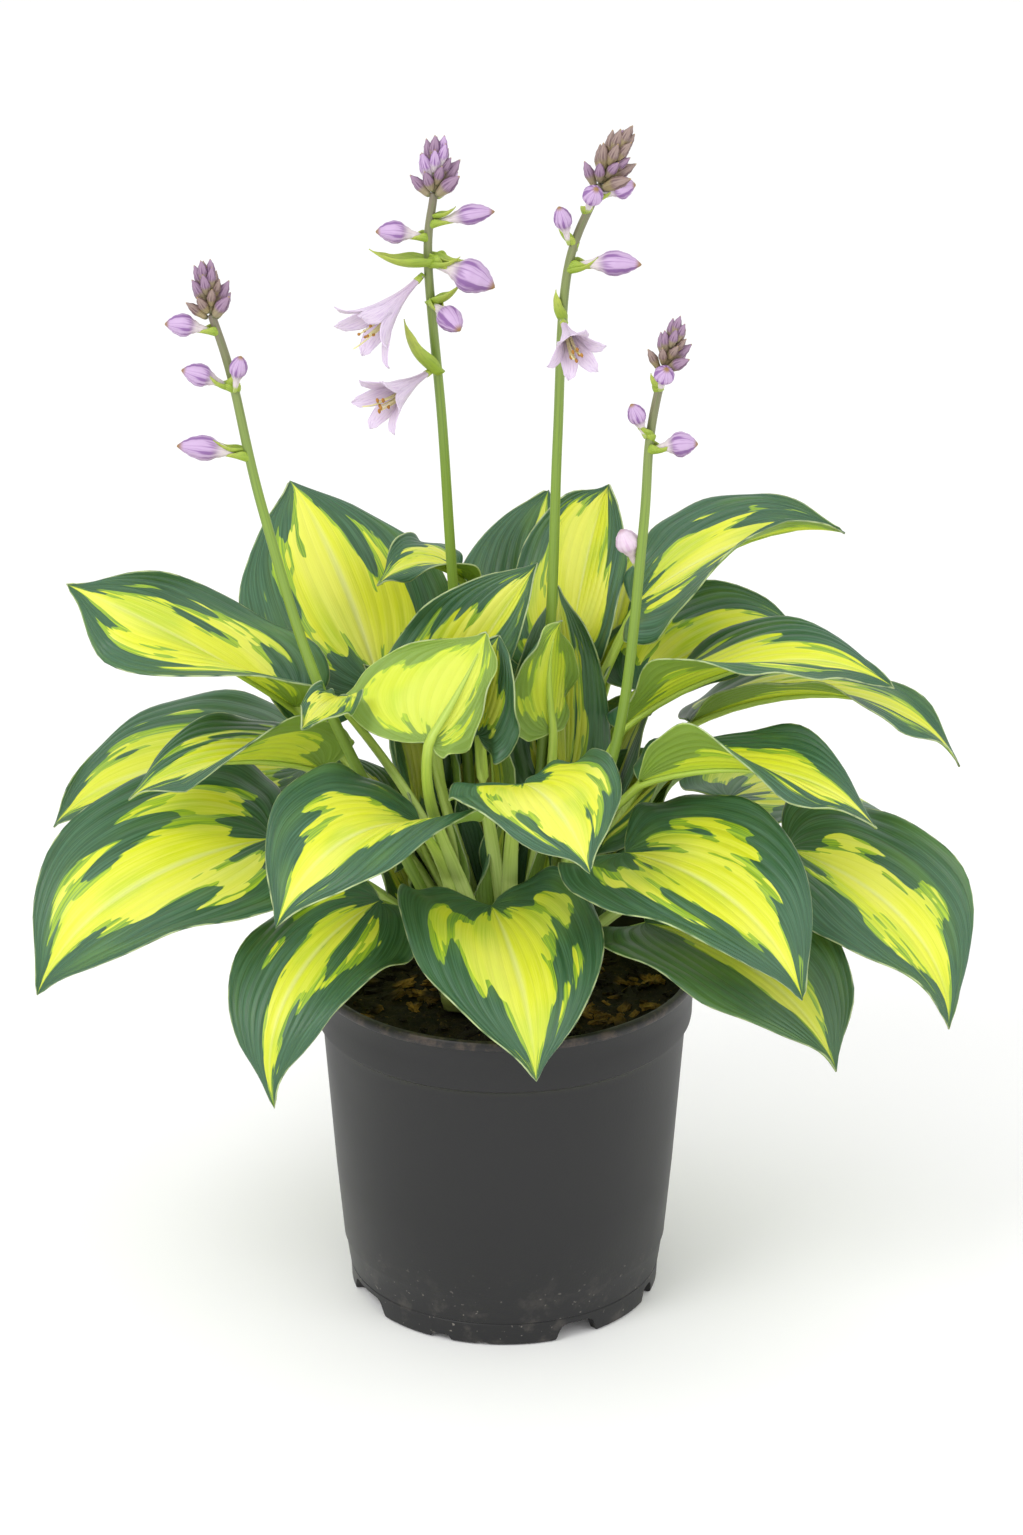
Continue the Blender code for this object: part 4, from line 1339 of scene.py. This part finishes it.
for turn, width, height in NOTCHES:
    a = math.radians(turn)
    deselect()
    bpy.ops.mesh.primitive_cone_add(
        vertices=4, radius1=1.02, radius2=0.60, depth=1, rotation=(0, 0, math.pi / 4)
    )
    notch = bpy.context.object
    bpy.ops.object.transform_apply(rotation=True)
    notch.scale = (NOTCH_DEPTH * MM, width * MM, height * 2 * MM)
    notch.rotation_euler = (0, 0, a)
    notch.location = (NOTCH_RING * math.cos(a) * MM, NOTCH_RING * math.sin(a) * MM, 0)
    bpy.ops.object.transform_apply(location=True, rotation=True, scale=True)
    round_off = notch.modifiers.new("round", "BEVEL")
    round_off.width = min(3.4, height * 0.38) * MM
    round_off.segments = 3
    apply(notch, round_off)
    cut(notch)
for k in range(DRAINS):
    a = math.pi * k / 2 + math.pi / 4
    ring = DRAIN_RING if k < DRAINS - 1 else 0  # the last one is in the middle
    deselect()
    bpy.ops.mesh.primitive_cylinder_add(
        vertices=32, radius=DRAIN_RADIUS * MM, depth=10 * MM,
        location=(ring * math.cos(a) * MM, ring * math.sin(a) * MM, 11 * MM),
    )
    cut(bpy.context.object)
select(pot)
bpy.ops.object.shade_smooth_by_angle(angle=math.radians(32))

# %% [markdown]
# The plastic is a soft, slightly satin dark grey. Its recycled surface has a
# fine grain, faint clouds, pale dust near the foot and a scuffed lip.

# %% Wear and dust group
wear, given, out = group(
    "wear_and_dust",
    [("Scale", "Float", 60.0), ("Height from", "Float", 0.0), ("Height to", "Float", 0.05)],
    [("Clouds", "Float"), ("Grain", "Float"), ("Dust", "Float"), ("Specks", "Float")],
)
t = wear
spot = node(t, "ShaderNodeTexCoord").outputs["Object"]
clouds = grained(t, spot, 9.0, 3.0)
grain = grained(t, spot, 900.0, 2.0)
height = node(t, "ShaderNodeSeparateXYZ", {0: spot}).outputs[2]
low = ease(t, height, given["Height from"], given["Height to"], 1.0, 0.0)
patches = ease(t, grained(t, spot, given["Scale"], 4.0, 0.65), 0.50, 0.72)
specks = ease(t, grained(t, spot, 420.0, 1.0), 0.70, 0.78)
t.links.new(clouds, out["Clouds"])
t.links.new(grain, out["Grain"])
t.links.new(times(t, low, patches), out["Dust"])
t.links.new(times(t, low, specks), out["Specks"])

# %% Pot plastic
LIP_FOOT, LIP_RADIUS = 0.1672, 0.0905
DARK_GREY, MID_GREY = (0.013, 0.013, 0.0135), (0.019, 0.019, 0.0200)
pot_plastic, tree, look = blank("pot_plastic")
worn = node(tree, "ShaderNodeGroup", node_tree=wear)
worn.inputs["Scale"].default_value = 70
worn.inputs["Height to"].default_value = 0.05
spot = node(tree, "ShaderNodeTexCoord").outputs["Object"]
height = node(tree, "ShaderNodeSeparateXYZ", {0: spot}).outputs[2]
ring = node(tree, "ShaderNodeVectorMath", {0: spot, 1: (1, 1, 0)}, operation="MULTIPLY")
ring = node(tree, "ShaderNodeVectorMath", {0: ring.outputs[0]}, operation="LENGTH")
ring = ring.outputs["Value"]
high = ease(tree, height, LIP_FOOT, LIP_FOOT + 0.001)
on_lip = times(tree, high, ease(tree, ring, LIP_RADIUS, LIP_RADIUS + 0.001))
scuffs = ease(tree, grained(tree, spot, 130.0, 4.0, 0.7), 0.42, 0.66)
within = ease(tree, ring, 0.0904, 0.0909, 1.0, 0.0)
inside = times(tree, within, ease(tree, height, 0.14, 0.15))
colour = mixed(tree, worn.outputs["Clouds"], DARK_GREY, MID_GREY)
for mask, share, tint in (
    (worn.outputs["Dust"], 0.30, (0.16, 0.14, 0.12)),
    (worn.outputs["Specks"], 0.6, (0.34, 0.31, 0.27)),
    (times(tree, on_lip, scuffs), 0.5, (0.12, 0.085, 0.065)),
    (inside, 0.7, (0.055, 0.060, 0.030)),
):
    colour = mixed(tree, times(tree, mask, share), colour, tint)
tree.links.new(colour, look["Base Color"])
look["Specular IOR Level"].default_value = 0.36
gloss = ease(tree, worn.outputs["Clouds"], 0.2, 0.8, 0.40, 0.54)
tree.links.new(gloss, look["Roughness"])
raised(tree, look, 0.25, 0.0002, worn.outputs["Grain"])
coat(pot, pot_plastic)
hand_over([pot], "pot")


# %% [markdown]
# ## The potting soil
#
# The mix is dark peat with flakes of bark. A turned body with a rough top
# stands for the peat. One bark flake is modelled as a rough flat block, and
# copies of it are strewn over the top with random turns.

# %% Soil body
SOIL_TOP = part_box("potting_soil")[1][2] / MM
SOIL_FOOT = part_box("potting_soil")[0][2] / MM
SOIL_EDGE = 149  # height where the top meets the pot
TOP_RADIUS, FOOT_RADIUS = 88.6, 74.0
TOP_SHARE, SIDE_SHARE = 0.78, 0.12  # of the sheet; the rest is the underside


def soil_height(x, y):
    at = Vector((x, y, 0))
    clods = 2.4 * noise.fractal(at * 0.055, 0.9, 2.1, 4)
    return SOIL_TOP - 2.6 + clods + noise.noise(at * 0.4)


def soil_place(u, v):
    a = math.pi * v
    if u < TOP_SHARE:
        r = TOP_RADIUS * u / TOP_SHARE
        x, y = r * math.cos(a), r * math.sin(a)
        return Vector((x, y, soil_height(x, y)))
    if u < TOP_SHARE + SIDE_SHARE:
        s = (u - TOP_SHARE) / SIDE_SHARE
        r = TOP_RADIUS + (FOOT_RADIUS - TOP_RADIUS) * s
        z = SOIL_EDGE + (SOIL_FOOT - SOIL_EDGE) * s
        return Vector((r * math.cos(a), r * math.sin(a), z))
    r = FOOT_RADIUS * (1 - u) / (1 - TOP_SHARE - SIDE_SHARE)
    return Vector((r * math.cos(a), r * math.sin(a), SOIL_FOOT))


soil = sheet_from_grid("soil_body", 160, 80, soil_place)
close_up(soil)

# %% Soil and bark finishes
peat, tree, look = blank("peat")
spot = node(tree, "ShaderNodeTexCoord").outputs["Object"]
crumb = grained(tree, spot, 240.0, 4.0, 0.65)
grit = ease(tree, grained(tree, spot, 520.0, 2.0), 0.66, 0.76, 0.0, 0.8)
colour = ease(tree, crumb, 0.35, 0.7)
colour = mixed(tree, colour, (0.004, 0.003, 0.002), (0.030, 0.018, 0.007))
colour = mixed(tree, grit, colour, (0.30, 0.18, 0.04))
tree.links.new(colour, look["Base Color"])
look["Roughness"].default_value = 0.9
raised(tree, look, 1.0, 0.0018, crumb)
coat(soil, peat)

bark, tree, look = blank("bark_flake")
spot = node(tree, "ShaderNodeTexCoord").outputs["Object"]
fibre = grained(tree, spot, 700.0, 2.0)
colour = ease(tree, grained(tree, spot, 45.0, 1.0), 0.50, 0.68)
colour = mixed(tree, colour, (0.010, 0.006, 0.003), (0.42, 0.23, 0.045))
colour = mixed(tree, ease(tree, fibre, 0.4, 0.7, 0.0, 0.5), colour, (0.02, 0.012, 0.006))
tree.links.new(colour, look["Base Color"])
look["Roughness"].default_value = 0.85
raised(tree, look, 0.6, 0.0006, fibre)

# %% One bark flake, then many
FLAKE_COUNT = 300
FLAKE_SIZE = (9, 5, 1.6)
STREWN_FROM, STREWN_TO = 34, 85

deselect()
bpy.ops.mesh.primitive_cube_add(size=1)
flake = bpy.context.object
flake.name = "bark_flake"
flake.scale = [side * MM for side in FLAKE_SIZE]
bpy.ops.object.transform_apply(location=False, rotation=False, scale=True)
bpy.ops.object.mode_set(mode="EDIT")
bpy.ops.mesh.select_all(action="SELECT")
bpy.ops.mesh.subdivide(number_cuts=2)
bpy.ops.transform.vertex_random(offset=0.9 * MM, uniform=0.6, seed=3)
bpy.ops.object.mode_set(mode="OBJECT")
coat(flake, bark)
chance = random.Random(7)
flakes = []
for k in range(FLAKE_COUNT):
    a = chance.uniform(0, 2 * math.pi)
    r = math.sqrt(chance.uniform(STREWN_FROM**2, STREWN_TO**2))
    x, y = r * math.cos(a), r * math.sin(a)
    copy = flake.copy()
    copy.data = flake.data.copy()
    bpy.context.scene.collection.objects.link(copy)
    size = chance.uniform(0.45, 1.15)
    copy.scale = (size, size * chance.uniform(0.6, 1.1), size)
    tilt, lean = chance.uniform(-0.5, 0.5), chance.uniform(-0.5, 0.5)
    copy.rotation_euler = (tilt, lean, chance.uniform(0, 6.3))
    copy.location = Vector((x, y, soil_height(x, y) + 0.6)) * MM
    flakes.append(copy)
bpy.data.objects.remove(flake)
select(*flakes)
bpy.ops.object.transform_apply(location=True, rotation=True, scale=True)
hand_over([soil] + flakes, "potting_soil")
print("bark flakes:", len(flakes))

# %% Update the scene, then finish
bpy.context.view_layer.update()
